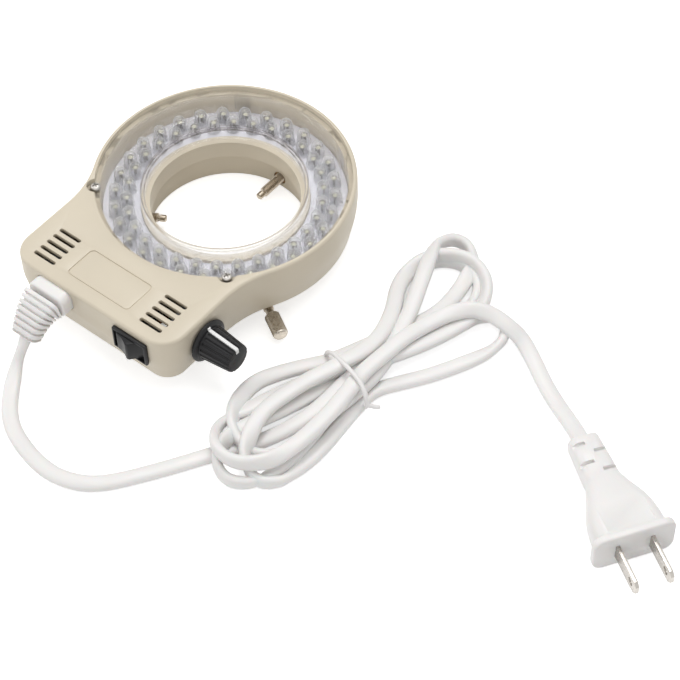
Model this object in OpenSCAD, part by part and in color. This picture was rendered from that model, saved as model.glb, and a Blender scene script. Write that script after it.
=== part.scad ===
/* [Ring] */
// Outer diameter of the round housing
ring_d = 100; // [94:1:110]
// Diameter of the clamping collar's bore
bore_d = 62; // [56:1:64]
// Depth of that bore, from the collar's foot to its step
bore_depth = 12; // [11:0.5:13]
// Diameter of the throat above the step
throat_d = 57; // [50:0.5:57]
// Wall of the tube around the throat
tube_wall = 3.5; // [2.5:0.1:3.5]
// Outer diameter of the collar
collar_d = 71; // [69:0.5:71]
// Height of the collar below the housing
collar_h = 8; // [7:0.5:12]
// Height of the housing above the collar
housing_h = 22.4; // [21:0.2:28]
// Thickness of the round wall around the lamps
ring_wall = 3.4; // [2.4:0.1:3.6]
// Thickness of the inner round wall on the box side
inner_wall = 2.8; // [2.4:0.1:3.2]
// Width of the rim outside the cover
rim_w = 1.6; // [1.2:0.1:2]

/* [Box] */
// Width of the control box
box_w = 77; // [76:1:84]
// Reach of the box's end face from the bore's axis
box_reach = 75.7; // [74:0.5:84]
// Radius of the box's two corners
corner_r = 10; // [8:0.5:12]
// Radius of the hollow curves between the ring and the box
neck_r = 40; // [34:1:60]
// Wall of the box
box_wall = 2.2; // [1.8:0.1:2.6]
// Thickness of the top of the box
top_t = 1.6; // [1.2:0.1:1.8]
// Thickness of the base plate
base_t = 2.5; // [2:0.1:3]
// Lip of the shell that hides the base plate's edge
lip_t = 3.2; // [2.8:0.1:3.3]

/* [Vents and panel] */
// Number of slots on each side
vent_count = 5; // [3:1:5]
// Distance from one slot to the next
vent_pitch = 3.36; // [2.8:0.04:3.4]
// Length of a slot
vent_len = 10.3; // [7:0.1:10.6]
// Width of a slot
vent_w = 1.65; // [1:0.05:1.9]
// Distance of the slots' centres from the middle plane
vent_x = 25.8; // [24.5:0.1:26]
// Distance of the last slot from the box's end face
vent_end = 6.1; // [5:0.1:7]
// Width of the sunk panel
panel_w = 29.8; // [20:0.2:32]
// Length of the sunk panel
panel_l = 14.2; // [8:0.2:15]
// Depth of the sunk panel
panel_t = 0.4; // [0.2:0.1:0.6]

/* [Lamps] */
// Number of lamps in each of the two rows
row_count = 30; // [24:1:32]
// Distance between the two rows
row_gap = 4.4; // [4.2:0.1:5]
// Diameter of a lamp's body
led_d = 5; // [4:0.1:5.2]
// Diameter of a lamp's flange
led_flange_d = 5.7; // [5.4:0.1:5.8]
// Height of a lamp
led_h = 6.8; // [6:0.1:7.4]
// Thickness of the lamp board
board_t = 1.6; // [1:0.1:2]
// Depth of the lamp board's face below the top
board_drop = 11.9; // [11.6:0.1:12.5]

/* [Clear cover] */
// Thickness of the cover
cover_t = 1.2; // [0.9:0.1:1.4]
// Depth of the rebate that the cover's rim sits in
cover_drop = 2.6; // [2:0.1:3]
// Width of the cover's rim on its ledge
cover_rim = 3.6; // [2.6:0.1:4]
// Width of the cover's two hanging tabs
tab_w = 6; // [4:0.5:8]
// Angle of each tab from the far end of the middle plane
tab_angle = 32; // [24:1:40]

/* [Thumb screws] */
// Thread diameter
thumb_d = 3.9; // [3.4:0.1:4.4]
// Length of the thread with its tip
thumb_thread = 18; // [17:0.5:20]
// Length of the knurled head
thumb_head = 11; // [8:0.5:14]
// Diameter of the knurled head
thumb_head_d = 5.8; // [5:0.1:6.4]
// Height of the screws' axes
thumb_z = 4.1; // [3.8:0.1:4.4]
// Distance of the rear screw's tip from the bore's axis
rear_tip_r = 18; // [18:0.5:24]
// Distance of the left screw's tip from the bore's axis
left_tip_r = 24; // [18:0.5:29]
// Distance of the right screw's tip from the bore's axis
right_tip_r = 30; // [24:0.5:30]
// Outer diameter of the brass inserts
insert_d = 5.6; // [5.2:0.1:6]
// Length of the screws' tips
tip_len = 2.6; // [1.6:0.1:3]
// Diameter of the screws' tips
tip_d = 2.8; // [2.2:0.1:3]

/* [Small fasteners] */
// Diameter of the case screws
case_screw_d = 2.9; // [2.2:0.1:3.1]
// Head diameter of the case screws
case_head_d = 4.6; // [4.2:0.1:5.4]
// Diameter of the cover screws
cover_screw_d = 2.4; // [2:0.1:2.6]
// Head diameter of the cover screws
cover_head_d = 3.9; // [3.4:0.1:5]
// Turn of the cover's screws about the ring's axis
cover_turn = -3; // [-4:0.5:0]
// Outer diameter of the screw posts
post_d = 5.4; // [5:0.1:6]

/* [Switch] */
// Distance of the switch from the middle plane
switch_x = 21.3; // [19.5:0.1:22]
// Height of the switch's centre below the top
switch_drop = 8.1; // [7.6:0.1:9]
// Width of the switch's frame
switch_w = 16; // [15.6:0.1:16.6]
// Height of the switch's frame
switch_h = 10.5; // [9.8:0.1:11]
// Depth of the frame in front of the wall
switch_rim = 1.6; // [1:0.1:2]
// Depth of the switch behind the wall's face
switch_depth = 10.7; // [9.5:0.1:11]
// Reach of the rocker's ridge from its pivot
rocker_ridge = 5.6; // [4.8:0.1:6]
// Half angle of the rocker's throw
rocker_tilt = 11; // [7:1:12]

/* [Dimmer] */
// Distance of the dimmer's axis from the bore's axis, along the box
dimmer_y = 56; // [55:0.5:57]
// Height of the dimmer's axis below the top
dimmer_drop = 11.4; // [11:0.1:11.6]
// Diameter of the dimmer's case
pot_d = 16; // [12:0.5:16]
// Depth of the dimmer's case
pot_t = 8; // [6:0.5:9]
// Diameter of the dimmer's threaded bush
bush_d = 7; // [6.4:0.1:8]
// Diameter of the dimmer's shaft
shaft_d = 6; // [4:0.1:6.2]
// Diameter of the knob's skirt
skirt_d = 17.4; // [15:0.1:20]
// Diameter of the knob's body next to the skirt
knob_d = 14.4; // [13.8:0.1:14.8]
// Diameter of the knob's end
knob_end_d = 10.8; // [9:0.1:12]
// Length of the knob
knob_len = 15.5; // [14.5:0.1:20]
// Width of the pointer line
pointer_w = 1.3; // [0.8:0.1:2]

/* [Inlet and connector] */
// Distance of the inlet from the middle plane
inlet_x = 16; // [15.5:0.1:17]
// Width of the connector
plugin_w = 17; // [16:0.1:17.4]
// Height of the connector
plugin_h = 9.6; // [8.4:0.1:9.8]
// Length of the connector's nose in the socket
nose_len = 12.4; // [10:0.1:12.6]
// Length of the connector's block outside the wall
block_len = 4.8; // [4:0.1:6]
// Distance from one pin to the other
pin_pitch = 8.6; // [7.6:0.1:9]
// Diameter of a pin
pin_d = 2.4; // [1.8:0.1:2.6]

/* [Mains lead] */
// Width of the flat cord
cord_w = 6.2; // [5:0.1:6.6]
// Thickness of the flat cord
cord_t = 3.8; // [3:0.1:4]
// Height of the tied bundle
hank_h = 12; // [11.5:0.5:14]
// Thickness of the twist tie
tie_t = 1.2; // [0.8:0.1:1.6]
// Width of the twist tie
tie_w = 1.8; // [1:0.1:3]

/* [Mains plug] */
// Width of the plug's front flange
flange_w = 30; // [28:0.5:32]
// Height of the plug's front flange
flange_h = 16; // [15.5:0.5:18]
// Thickness of the plug's front flange
flange_t = 3; // [2:0.1:4]
// Distance from one blade to the other
blade_pitch = 12.7; // [12:0.1:13]
// Length of a blade in front of the plug
blade_len = 16.5; // [15:0.1:18]
// Width of a blade
blade_w = 6.3; // [6:0.1:6.5]
// Thickness of a blade
blade_t = 1.5; // [1.2:0.1:1.6]

/* [Hidden] */
$fn = 64;
eps = 0.5;

// Clearances
fit_gap = 0.15;
run_gap = 0.1;

// Levels of the housing
z_house = collar_h;
z_top = collar_h + housing_h;
z_floor = z_house + base_t;
z_roof = z_top - top_t;
z_board = z_top - board_drop;
z_board_low = z_board - board_t;
z_cover = z_top - cover_drop;
z_led_top = z_board + led_h;

// Radii of the ring
ring_r = ring_d / 2;
bore_r = bore_d / 2;
throat_r = throat_d / 2;
tube_r = throat_r + tube_wall;
tube_rise = 1.2;
z_tube = z_board + tube_rise;
shoulder_r = tube_r + 1.4;
lamp_wall_r = ring_r - ring_wall;
ring_in_r = lamp_wall_r + inner_wall;
board_r = lamp_wall_r - 0.2;
ledge_w = 1.4;
ledge_h = 2;
outer_row_r = (lamp_wall_r + tube_r + row_gap) / 2;
inner_row_r = (lamp_wall_r + tube_r - row_gap) / 2;

// The cover sits in a rebate of the rim
rebate_r = ring_r - rim_w;
cover_r = rebate_r - 0.1;
cover_in_r = tube_r - 0.6;
ear_r = 3.2;
cover_screw_r = rebate_r - 0.4;
ear_angle = 45;
cover_screw_at = [cover_turn - ear_angle, cover_turn + ear_angle];
hook_t = 1;
hook_h = 7.5;

// The box
box_hw = box_w / 2;
end_y = -box_reach;
in_x = box_hw - box_wall;
in_y = end_y + box_wall;
neck_a = sqrt(pow(ring_r + neck_r, 2) - pow(box_hw + neck_r, 2));
vent_y = end_y + vent_end;
panel_y = vent_y + (vent_count - 1) * vent_pitch / 2;
wire_gap_w = 14;
wire_gap_h = 3.6;

// Screw posts as [x, y]
post_r = post_d / 2;
cover_post_r = ear_r + 1;
cover_hole_depth = 6.4;
cover_head_t = 1.5;
case_hole_depth = 5.5;
case_head_t = 1.8;
post_x = in_x - post_r - 1.2;
front_post = [post_x, in_y + 6.5];
rear_post = [post_x, -sqrt(pow(ring_in_r + post_r, 2) - pow(post_x, 2)) + 1];
far_post_r = lamp_wall_r - post_r + 0.5;
far_post = [far_post_r * sin(45), far_post_r * cos(45)];
box_posts = [front_post, rear_post];

// The switch
z_switch = z_top - switch_drop;
window_w = switch_w - 2.7;
window_h = switch_h - 2.3;
switch_in_w = switch_w - 1.6;
switch_in_h = switch_h - 1.4;
pivot_y = end_y + 1.5;
rocker_wing = window_w / 2 - 0.45;
rocker_h = window_h - 0.3;
pivot_pin_d = 1.6;
terminal_x = 3.4;
terminal_len = 4.2;

// The dimmer
z_dimmer = z_top - dimmer_drop;
pot_x = in_x - 1.2 - pot_t;
bush_end = box_hw + 4.4;
knob_base = box_hw + 0.6;
nut_d = 10;
nut_t = 2;
skirt_t = 2.4;
shaft_end = knob_base + knob_len - 3;
pointer_t = 0.5;

// The inlet
z_inlet = z_roof - plugin_h / 2 - 0.3;
socket_wall = 1.2;
socket_depth = nose_len + 0.4;
socket_y = in_y + socket_depth - box_wall;
socket_back = socket_y + 2.2;
pin_back = socket_back + 2.4;
nose_y = end_y + nose_len;
block_y = end_y - block_len;
pin_tip_y = nose_y - 7;
contact_d = pin_d + 1;
contact_end = nose_y - 9.4;

// The driver board
drive_w = 45;
drive_l = 19;
drive_x = pot_x - 7.6 - drive_w;
drive_y = in_y + 2.6;
z_drive = z_floor + 2;
z_drive_top = z_drive + board_t;

// The boot bends down from the connector to the cord
boot_steps = 5;
boot_run = 10;
boot_dip = [1.5, 7.6];
function boot_at(t) = [-inlet_x - 0.6 * t, block_y - 1.2 - boot_run * t,
    z_inlet - boot_dip[0] * t - boot_dip[1] * t * t];
function boot_lean(t) = atan((boot_dip[0] + 2 * boot_dip[1] * t) / boot_run);

// The cord's route on the table, from the boot to the bundle and from there to the plug
boot_end = boot_at(1);
feed_route = [[-17, -95, 9], [-17, -98, 5], [-15, -102, 3], [-11, -108, 2], [-5, -115, 2],
    [2, -120, 2], [10, -123, 2], [19, -125, 2], [28, -125, 2], [37, -122, 2], [44, -116, 2],
    [50, -108, 2], [56, -99, 2], [61, -91, 2], [64, -86, 2]];
run_route = [[116, 23, 7], [122, 23, 4], [130, 19, 2], [139, 13, 2], [148, 8, 2], [157, 3, 4]];

// Outline of the tied bundle, seen from above
hank_outline = [[73, -94], [84, -93], [92, -86], [97, -74], [97, -56], [94, -42], [95, -31],
    [104, -17], [113, -3], [118, 10], [117, 22], [110, 31], [102, 39], [92, 44], [85, 51],
    [77, 54], [69, 51], [66, 42], [66, 26], [70, 10], [75, -4], [76, -15], [72, -25], [62, -39],
    [55, -50], [55, -62], [58, -75], [64, -87]];
tie_x = 83;
tie_y = -29;
tie_lean = -14;
tie_len = 25;

// The plug lies on its side, its front face square to the blades
plug_at = [205.3, -28.7];
plug_turn = -32.7;
z_plug = flange_h / 2;
plug_steps = [[0, 26, 15], [-11, 24, 14], [-17, 19.5, 13], [-24, 13, 11]];
relief_len = 19;
plug_len = flange_t + 24 + relief_len;
relief_w = 12.4;
relief_h = 10.4;
slot_first = 3.4;
slot_pitch = 4.2;

// Plain helpers
module mirrored() {
    children();
    mirror([1, 0, 0]) children();
}

module ring(r_out, r_in, z0, z1) {
    translate([0, 0, z0]) difference() {
        cylinder(r = r_out, h = z1 - z0, $fn = 180);
        translate([0, 0, -eps]) cylinder(r = r_in, h = z1 - z0 + 2 * eps, $fn = 180);
    }
}

// A rectangle with round corners, centred
module soft_rect(w, h, r) {
    square([w - 2 * r, h], center = true);
    square([w, h - 2 * r], center = true);
    for (x = [-1, 1], y = [-1, 1]) translate([x * (w / 2 - r), y * (h / 2 - r)]) circle(r = r);
}

// The housing's outline seen from above, drawn in by an inset
module body_outline(inset) {
    hw = box_hw - inset;
    reach = box_reach - inset;
    r = corner_r - inset;
    arc = neck_r + inset;
    circle(r = ring_r - inset, $fn = 180);
    translate([-hw, -reach + r]) square([2 * hw, reach - r - neck_a + 0.01]);
    translate([-hw + r, -reach]) square([2 * (hw - r), r + 1]);
    for (x = [-1, 1]) translate([x * (hw - r), -reach + r]) circle(r = r);
    difference() {
        polygon([[-hw, -neck_a], [hw, -neck_a], [ring_r - 4, -neck_a / 2], [-ring_r + 4, -neck_a / 2]]);
        for (x = [-1, 1]) translate([x * (box_hw + neck_r), -neck_a]) circle(r = arc, $fn = 180);
    }
}

// The space inside the box, outside the inner round wall, with the screws' posts left standing
module box_room() {
    difference() {
        body_outline(box_wall);
        circle(r = ring_in_r, $fn = 180);
        for (side = [-1, 1]) {
            for (p = box_posts) translate([side * p[0], p[1]]) circle(r = post_r, $fn = 32);
        }
        for (a = cover_screw_at) rotate(a) translate([0, -cover_screw_r])
            circle(r = cover_post_r, $fn = 40);
    }
}

// A slot with round ends, centred
module slot(len, w) {
    polygon([for (side = [0, 180], a = [-90 : 15 : 90])
        [cos(side) * (len - w) / 2 + cos(side + a) * w / 2, sin(side + a) * w / 2]]);
}

module vent_slots() {
    for (i = [0 : vent_count - 1]) translate([vent_x, vent_y + i * vent_pitch]) slot(vent_len, vent_w);
}

// A pan head with a cross recess, its shank pointing down
module cross_screw(d, head_d, head_t, len) {
    difference() {
        union() {
            translate([0, 0, -len]) cylinder(d = d, h = len, $fn = 24);
            cylinder(d = head_d, h = head_t * 0.6, $fn = 32);
            translate([0, 0, head_t * 0.6])
                cylinder(d1 = head_d, d2 = head_d * 0.72, h = head_t * 0.4, $fn = 32);
        }
        for (a = [0, 90]) rotate([0, 0, a])
            translate([-head_d * 0.28, -head_d * 0.07, head_t * 0.45])
                cube([head_d * 0.56, head_d * 0.14, head_t]);
    }
}

// Functions that sweep a closed section along a route of points
function unit(v) = v / norm(v);
function heading(p, i) = unit(p[min(i + 1, len(p) - 1)] - p[max(i - 1, 0)]);
function side_of(d) = abs(d[2]) > 0.98 ? [1, 0, 0] : unit(cross(d, [0, 0, 1]));
function swept_ring(p, i, w, h, n) = let (d = heading(p, i), s = side_of(d), u = cross(s, d))
    [for (k = [0 : n - 1]) p[i] + s * w / 2 * cos(360 * k / n + 180 / n) / cos(180 / n)
        + u * h / 2 * sin(360 * k / n + 180 / n) / cos(180 / n)];

module swept(p, w, h, n) {
    m = len(p);
    points = [for (i = [0 : m - 1]) each swept_ring(p, i, w, h, n)];
    sides = [for (i = [0 : m - 2], k = [0 : n - 1])
        [i * n + k, i * n + (k + 1) % n, (i + 1) * n + (k + 1) % n, (i + 1) * n + k]];
    first = [for (k = [0 : n - 1]) n - 1 - k];
    last = [for (k = [0 : n - 1]) (m - 1) * n + k];
    polyhedron(points = points, faces = concat([first], sides, [last]), convexity = 8);
}

// The cover's outline seen from above: the rim and the two screw ears
module cover_plan(gap, rim) {
    circle(r = rim, $fn = 180);
    for (a = cover_screw_at) rotate(a) translate([0, -cover_screw_r]) circle(r = ear_r + gap, $fn = 32);
}

// Housing
module main_shell() {
    color("wheat") difference() {
        translate([0, 0, z_house]) linear_extrude(housing_h) body_outline(0);
        translate([0, 0, z_house - eps]) linear_extrude(base_t + eps) body_outline(lip_t);
        translate([0, 0, z_floor - eps]) linear_extrude(z_roof - z_floor + eps) box_room();
        lamp_well();
        translate([0, 0, z_cover]) linear_extrude(cover_drop + eps) cover_plan(fit_gap, rebate_r);
        shell_cuts();
    }
}

// The round space for the lamps, with the board's ledge and the far screws' posts left standing
module lamp_well() {
    translate([0, 0, z_board_low]) cylinder(r = lamp_wall_r, h = housing_h, $fn = 180);
    translate([0, 0, z_floor - eps]) linear_extrude(z_board_low - z_floor + 2 * eps)
        well_outline(lamp_wall_r - ledge_w);
    translate([0, 0, z_floor - eps]) linear_extrude(z_board_low - ledge_h - z_floor + eps)
        well_outline(lamp_wall_r);
}

module well_outline(r) {
    difference() {
        circle(r = r, $fn = 180);
        for (side = [-1, 1]) translate([side * far_post[0], far_post[1]]) circle(r = post_r, $fn = 32);
    }
}

module shell_cuts() {
    mirrored() {
        translate([0, 0, z_roof - eps]) linear_extrude(top_t + 2 * eps) vent_slots();
        for (p = concat(box_posts, [far_post])) translate([p[0], p[1], z_floor - eps])
            cylinder(d = case_screw_d, h = case_hole_depth + eps, $fn = 24);
    }
    for (a = cover_screw_at) rotate([0, 0, a]) translate([0, -cover_screw_r, z_cover - cover_hole_depth])
        cylinder(d = cover_screw_d, h = cover_hole_depth + eps, $fn = 24);
    translate([0, panel_y, z_top - panel_t]) linear_extrude(panel_t + eps)
        soft_rect(panel_w, panel_l, 2);
    translate([-wire_gap_w / 2, -ring_in_r - eps, z_floor - 0.01])
        cube([wire_gap_w, inner_wall + 4, wire_gap_h]);
    translate([switch_x - switch_in_w / 2 - fit_gap, end_y - eps, z_switch - switch_in_h / 2 - fit_gap])
        cube([switch_in_w + 2 * fit_gap, box_wall + 2 * eps, switch_in_h + 2 * fit_gap]);
    translate([-inlet_x, in_y + eps, z_inlet]) rotate([90, 0, 0]) linear_extrude(box_wall + 2 * eps)
        soft_rect(plugin_w + 4 * fit_gap, plugin_h + 3 * fit_gap, 3.4);
    translate([in_x - eps, -dimmer_y, z_dimmer]) rotate([0, 90, 0])
        cylinder(d = bush_d + 2 * fit_gap, h = box_wall + 2 * eps, $fn = 48);
}

module base_plate() {
    color("wheat") difference() {
        union() {
            translate([0, 0, z_house]) linear_extrude(base_t) body_outline(lip_t + fit_gap);
            cylinder(d = collar_d, h = z_house + 1, $fn = 180);
            cylinder(r = shoulder_r, h = z_board_low, $fn = 180);
            cylinder(r = tube_r, h = z_tube, $fn = 180);
        }
        translate([0, 0, -eps]) cylinder(r = bore_r, h = bore_depth + eps, $fn = 180);
        cylinder(r = throat_r, h = z_tube + eps, $fn = 180);
        for (a = [90, 210, 330]) rotate([0, 0, a]) translate([bore_r - 2, 0, thumb_z])
            rotate([0, 90, 0]) cylinder(d = insert_d, h = collar_d / 2 - bore_r + 4, $fn = 32);
        mirrored() for (p = concat(box_posts, [far_post])) translate([p[0], p[1], z_house - eps])
            cylinder(d = case_screw_d + 0.3, h = base_t + 2 * eps, $fn = 24);
    }
}

module screw_inserts() {
    seat = 0.35;
    color("goldenrod") for (a = [90, 210, 330]) rotate([0, 0, a])
        translate([bore_r + seat, 0, thumb_z]) rotate([0, 90, 0]) difference() {
            cylinder(d = insert_d, h = collar_d / 2 - bore_r - 2 * seat, $fn = 32);
            translate([0, 0, -eps]) cylinder(d = thumb_d + 2 * run_gap, h = collar_d, $fn = 32);
        }
}

module case_screws() {
    color("silver") mirrored() for (p = concat(box_posts, [far_post]))
        translate([p[0], p[1], z_house]) rotate([180, 0, 0])
            cross_screw(case_screw_d, case_head_d, case_head_t, base_t + case_hole_depth - 0.5);
}

// Lamps
module led_board() {
    color("lavender") ring(board_r, tube_r + 0.15, z_board_low, z_board);
}

module led() {
    straight = led_h - led_d / 2;
    rotate_extrude($fn = 32) {
        square([led_flange_d / 2, 1]);
        square([led_d / 2, straight]);
        intersection() {
            translate([0, straight]) circle(d = led_d, $fn = 32);
            square([led_d, led_h + 1]);
        }
    }
}

// The two rows are staggered by half a step
module led_row(r, shift) {
    for (i = [0 : row_count - 1]) rotate([0, 0, (i + shift) * 360 / row_count])
        translate([0, -r, z_board]) led();
}

module outer_leds() { color("whitesmoke") led_row(outer_row_r, 0.5); }

module inner_leds() { color("whitesmoke") led_row(inner_row_r, 0); }

module led_resistors() {
    d = 1.5;
    color("tan") for (a = [-60 : 30 : 240]) if (a != -30) rotate([0, 0, a])
        translate([(tube_r + lamp_wall_r) / 2 - 1, 0, z_board_low - d / 2]) rotate([0, 90, 90])
            translate([0, 0, -1.8]) cylinder(d = d, h = 3.6, $fn = 20);
}

module clear_cover() {
    lip_z = z_led_top - 0.4;
    bend_r = inner_row_r - 0.4;
    bend_z = min(z_led_top + 1.8, z_cover);
    rim_r = cover_r - cover_rim;
    color("lightcyan") difference() {
        union() {
            rotate_extrude($fn = 180) polygon([[cover_in_r, z_tube + 0.05], [cover_in_r, lip_z],
                [bend_r, bend_z], [rim_r, z_cover], [cover_r, z_cover], [cover_r, z_cover + cover_t],
                [rim_r - 0.2, z_cover + cover_t], [bend_r - 0.2, bend_z + cover_t],
                [cover_in_r - cover_t, lip_z + 0.4], [cover_in_r - cover_t, z_tube + 0.05]]);
            translate([0, 0, z_cover]) linear_extrude(cover_t) difference() {
                cover_plan(0, cover_r);
                circle(r = rim_r, $fn = 180);
            }
            for (x = [-1, 1]) rotate([0, 0, x * tab_angle])
                translate([-tab_w / 2, lamp_wall_r - 2 * fit_gap - hook_t, z_cover - hook_h])
                    cube([tab_w, hook_t, hook_h + cover_t / 2]);
        }
        for (a = cover_screw_at) rotate([0, 0, a]) translate([0, -cover_screw_r, z_cover - eps])
            cylinder(d = cover_screw_d + 0.3, h = cover_t + 2 * eps, $fn = 24);
    }
}

module cover_screws() {
    color("silver") for (a = cover_screw_at) rotate([0, 0, a])
        translate([0, -cover_screw_r, z_cover + cover_t])
            cross_screw(cover_screw_d, cover_head_d, cover_head_t, cover_t + cover_hole_depth - 0.4);
}

// Thumb screws, drawn along +X from the tip's end
module knurled(d, h, n) {
    linear_extrude(h) polygon([for (i = [0 : 2 * n - 1])
        (d / 2 - (i % 2) * 0.28) * [cos(180 * i / n), sin(180 * i / n)]]);
}

module thumb_screw() {
    neck = 2;
    bevel = 0.8;
    rotate([0, 90, 0]) difference() {
        union() {
            translate([0, 0, tip_len + run_gap])
                cylinder(d = thumb_d, h = thumb_thread - tip_len - run_gap - neck, $fn = 32);
            translate([0, 0, thumb_thread - neck - 0.01])
                cylinder(d = thumb_d - 0.7, h = neck + 0.02, $fn = 32);
            translate([0, 0, thumb_thread])
                cylinder(d1 = thumb_d, d2 = thumb_head_d - 0.6, h = bevel, $fn = 32);
            translate([0, 0, thumb_thread + bevel]) knurled(thumb_head_d, thumb_head - 2 * bevel, 18);
            translate([0, 0, thumb_thread + thumb_head - bevel])
                cylinder(d1 = thumb_head_d - 0.6, d2 = thumb_head_d - 2, h = bevel, $fn = 32);
        }
        translate([0, 0, tip_len - eps])
            cylinder(d = tip_d / 2 + 2 * 0.05, h = 3.2 + eps, $fn = 24);
    }
}

module screw_tip() {
    rotate([0, 90, 0]) {
        cylinder(d1 = tip_d - 0.8, d2 = tip_d, h = 0.5, $fn = 24);
        translate([0, 0, 0.5]) cylinder(d = tip_d, h = tip_len - 0.5, $fn = 24);
        translate([0, 0, tip_len - 0.01]) cylinder(d = tip_d / 2, h = 3, $fn = 24);
    }
}

module at_screw(angle, tip_r) {
    rotate([0, 0, angle]) translate([tip_r, 0, thumb_z]) children();
}

module rear_thumb_screw() { color("silver") at_screw(90, rear_tip_r) thumb_screw(); }

module rear_screw_tip() { color("silver") at_screw(90, rear_tip_r) screw_tip(); }

module left_thumb_screw() { color("silver") at_screw(210, left_tip_r) thumb_screw(); }

module left_screw_tip() { color("silver") at_screw(210, left_tip_r) screw_tip(); }

module right_thumb_screw() { color("silver") at_screw(330, right_tip_r) thumb_screw(); }

module right_screw_tip() { color("silver") at_screw(330, right_tip_r) screw_tip(); }

// Switch
module switch_body() {
    inner = switch_depth;
    color("dimgray") difference() {
        union() {
            translate([switch_x - switch_w / 2, end_y - switch_rim, z_switch - switch_h / 2])
                cube([switch_w, switch_rim, switch_h]);
            translate([switch_x - switch_in_w / 2, end_y - 0.01, z_switch - switch_in_h / 2])
                cube([switch_in_w, inner, switch_in_h]);
        }
        translate([switch_x - window_w / 2, end_y - switch_rim - eps, z_switch - window_h / 2])
            cube([window_w, pivot_y - end_y + switch_rim + eps, window_h]);
        translate([switch_x, pivot_y, z_switch - window_h / 2])
            cylinder(d = window_w, h = window_h, $fn = 64);
        translate([switch_x, pivot_y, z_switch - window_h / 2 - 0.55])
            cylinder(d = pivot_pin_d + 2 * run_gap, h = window_h + 1.1, $fn = 24);
    }
}

module switch_rocker() {
    color("black") translate([switch_x, pivot_y, z_switch]) rotate([0, 0, rocker_tilt]) {
        translate([0, 0, -rocker_h / 2]) linear_extrude(rocker_h) polygon([[-rocker_wing, -2],
            [-rocker_wing + 0.5, -2.6], [-0.6, -rocker_ridge], [0.6, -rocker_ridge],
            [rocker_wing - 0.5, -2.6], [rocker_wing, -2], [4.4, 1.6], [-4.4, 1.6]]);
        translate([0, 0, -window_h / 2 - 0.4])
            cylinder(d = pivot_pin_d, h = window_h + 0.8, $fn = 24);
    }
}

module switch_terminals() {
    color("silver") for (x = [-terminal_x, terminal_x])
        translate([switch_x + x - 1.2, end_y + switch_depth - 0.01, z_switch - 0.4])
            cube([2.4, terminal_len, 0.8]);
}

// Inlet
module inlet_socket() {
    w = plugin_w + 4 * fit_gap;
    h = plugin_h + 3 * fit_gap;
    color("dimgray") translate([-inlet_x, 0, z_inlet]) difference() {
        translate([-w / 2 - socket_wall, in_y, -h / 2 - socket_wall])
            cube([w + 2 * socket_wall, socket_back - in_y, z_roof - z_inlet + h / 2 + socket_wall]);
        translate([0, socket_y, 0]) rotate([90, 0, 0]) linear_extrude(socket_y - in_y + eps)
            soft_rect(w, h, 3.4);
        for (x = [-1, 1]) translate([x * pin_pitch / 2, socket_back + eps, 0]) rotate([90, 0, 0])
            cylinder(d = pin_d, h = 4, $fn = 32);
    }
}

module inlet_pins() {
    color("silver") for (x = [-1, 1]) translate([-inlet_x + x * pin_pitch / 2, 0, z_inlet]) {
        translate([0, pin_back, 0]) rotate([90, 0, 0])
            cylinder(d = pin_d, h = pin_back - pin_tip_y - 0.5, $fn = 32);
        translate([0, pin_tip_y + 0.5, 0]) rotate([90, 0, 0])
            cylinder(d1 = pin_d, d2 = pin_d - 1, h = 0.5, $fn = 32);
    }
}

// Dimmer, drawn along +X
module along_dimmer(x) {
    translate([x, -dimmer_y, z_dimmer]) rotate([0, 90, 0]) children();
}

module dimmer_pot() {
    color("slategray") difference() {
        union() {
            along_dimmer(pot_x) cylinder(d = pot_d, h = pot_t, $fn = 64);
            along_dimmer(pot_x + pot_t - 0.01)
                cylinder(d = bush_d + 3, h = in_x - pot_x - pot_t + 0.01, $fn = 48);
            along_dimmer(in_x - 0.01) cylinder(d = bush_d, h = bush_end - in_x, $fn = 48);
        }
        along_dimmer(pot_x + 2) cylinder(d = shaft_d + 2 * run_gap, h = bush_end - pot_x, $fn = 48);
    }
}

module dimmer_terminals() {
    color("silver") for (i = [-1, 0, 1])
        translate([pot_x + pot_t / 2, -dimmer_y + i * 4 - 0.6, z_dimmer - pot_d / 2 + 0.6])
            rotate([0, 90, 0]) translate([-1.6, 0, -pot_t / 2 - 3]) cube([0.6, 1.2, 3.01]);
}

module dimmer_nut() {
    color("silver") difference() {
        along_dimmer(box_hw) cylinder(d = nut_d / cos(30), h = nut_t, $fn = 6);
        along_dimmer(box_hw - eps) cylinder(d = bush_d, h = nut_t + 2 * eps, $fn = 48);
    }
}

module dimmer_shaft() {
    color("silver") along_dimmer(pot_x + 2.3) cylinder(d = shaft_d, h = shaft_end - pot_x - 2.3, $fn = 48);
}

module dimmer_knob() {
    color("black") difference() {
        union() {
            along_dimmer(knob_base) cylinder(d = skirt_d, h = skirt_t, $fn = 64);
            along_dimmer(knob_base + skirt_t - 0.01)
                cylinder(d1 = knob_d, d2 = knob_end_d, h = knob_len - skirt_t + 0.01, $fn = 64);
        }
        along_dimmer(knob_base - eps)
            cylinder(d = nut_d / cos(30) + 1.2, h = bush_end - knob_base + 1, $fn = 48);
        along_dimmer(knob_base) cylinder(d = shaft_d, h = shaft_end - knob_base, $fn = 48);
        pointer_bar(0);
    }
}

// The pointer is a flush strip along the knob's flank and onto its end
module pointer_bar(extra) {
    lean = atan((knob_d - knob_end_d) / 2 / (knob_len - skirt_t));
    translate([knob_base + skirt_t, -dimmer_y, z_dimmer + knob_d / 2]) rotate([0, lean, 0])
        translate([1, -pointer_w / 2, -pointer_t]) cube([knob_len, pointer_w, pointer_t + 1 + extra]);
}

module knob_pointer() {
    color("white") intersection() {
        pointer_bar(0);
        along_dimmer(knob_base + skirt_t - 0.01)
            cylinder(d1 = knob_d, d2 = knob_end_d, h = knob_len - skirt_t + 0.01, $fn = 64);
    }
}

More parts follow.
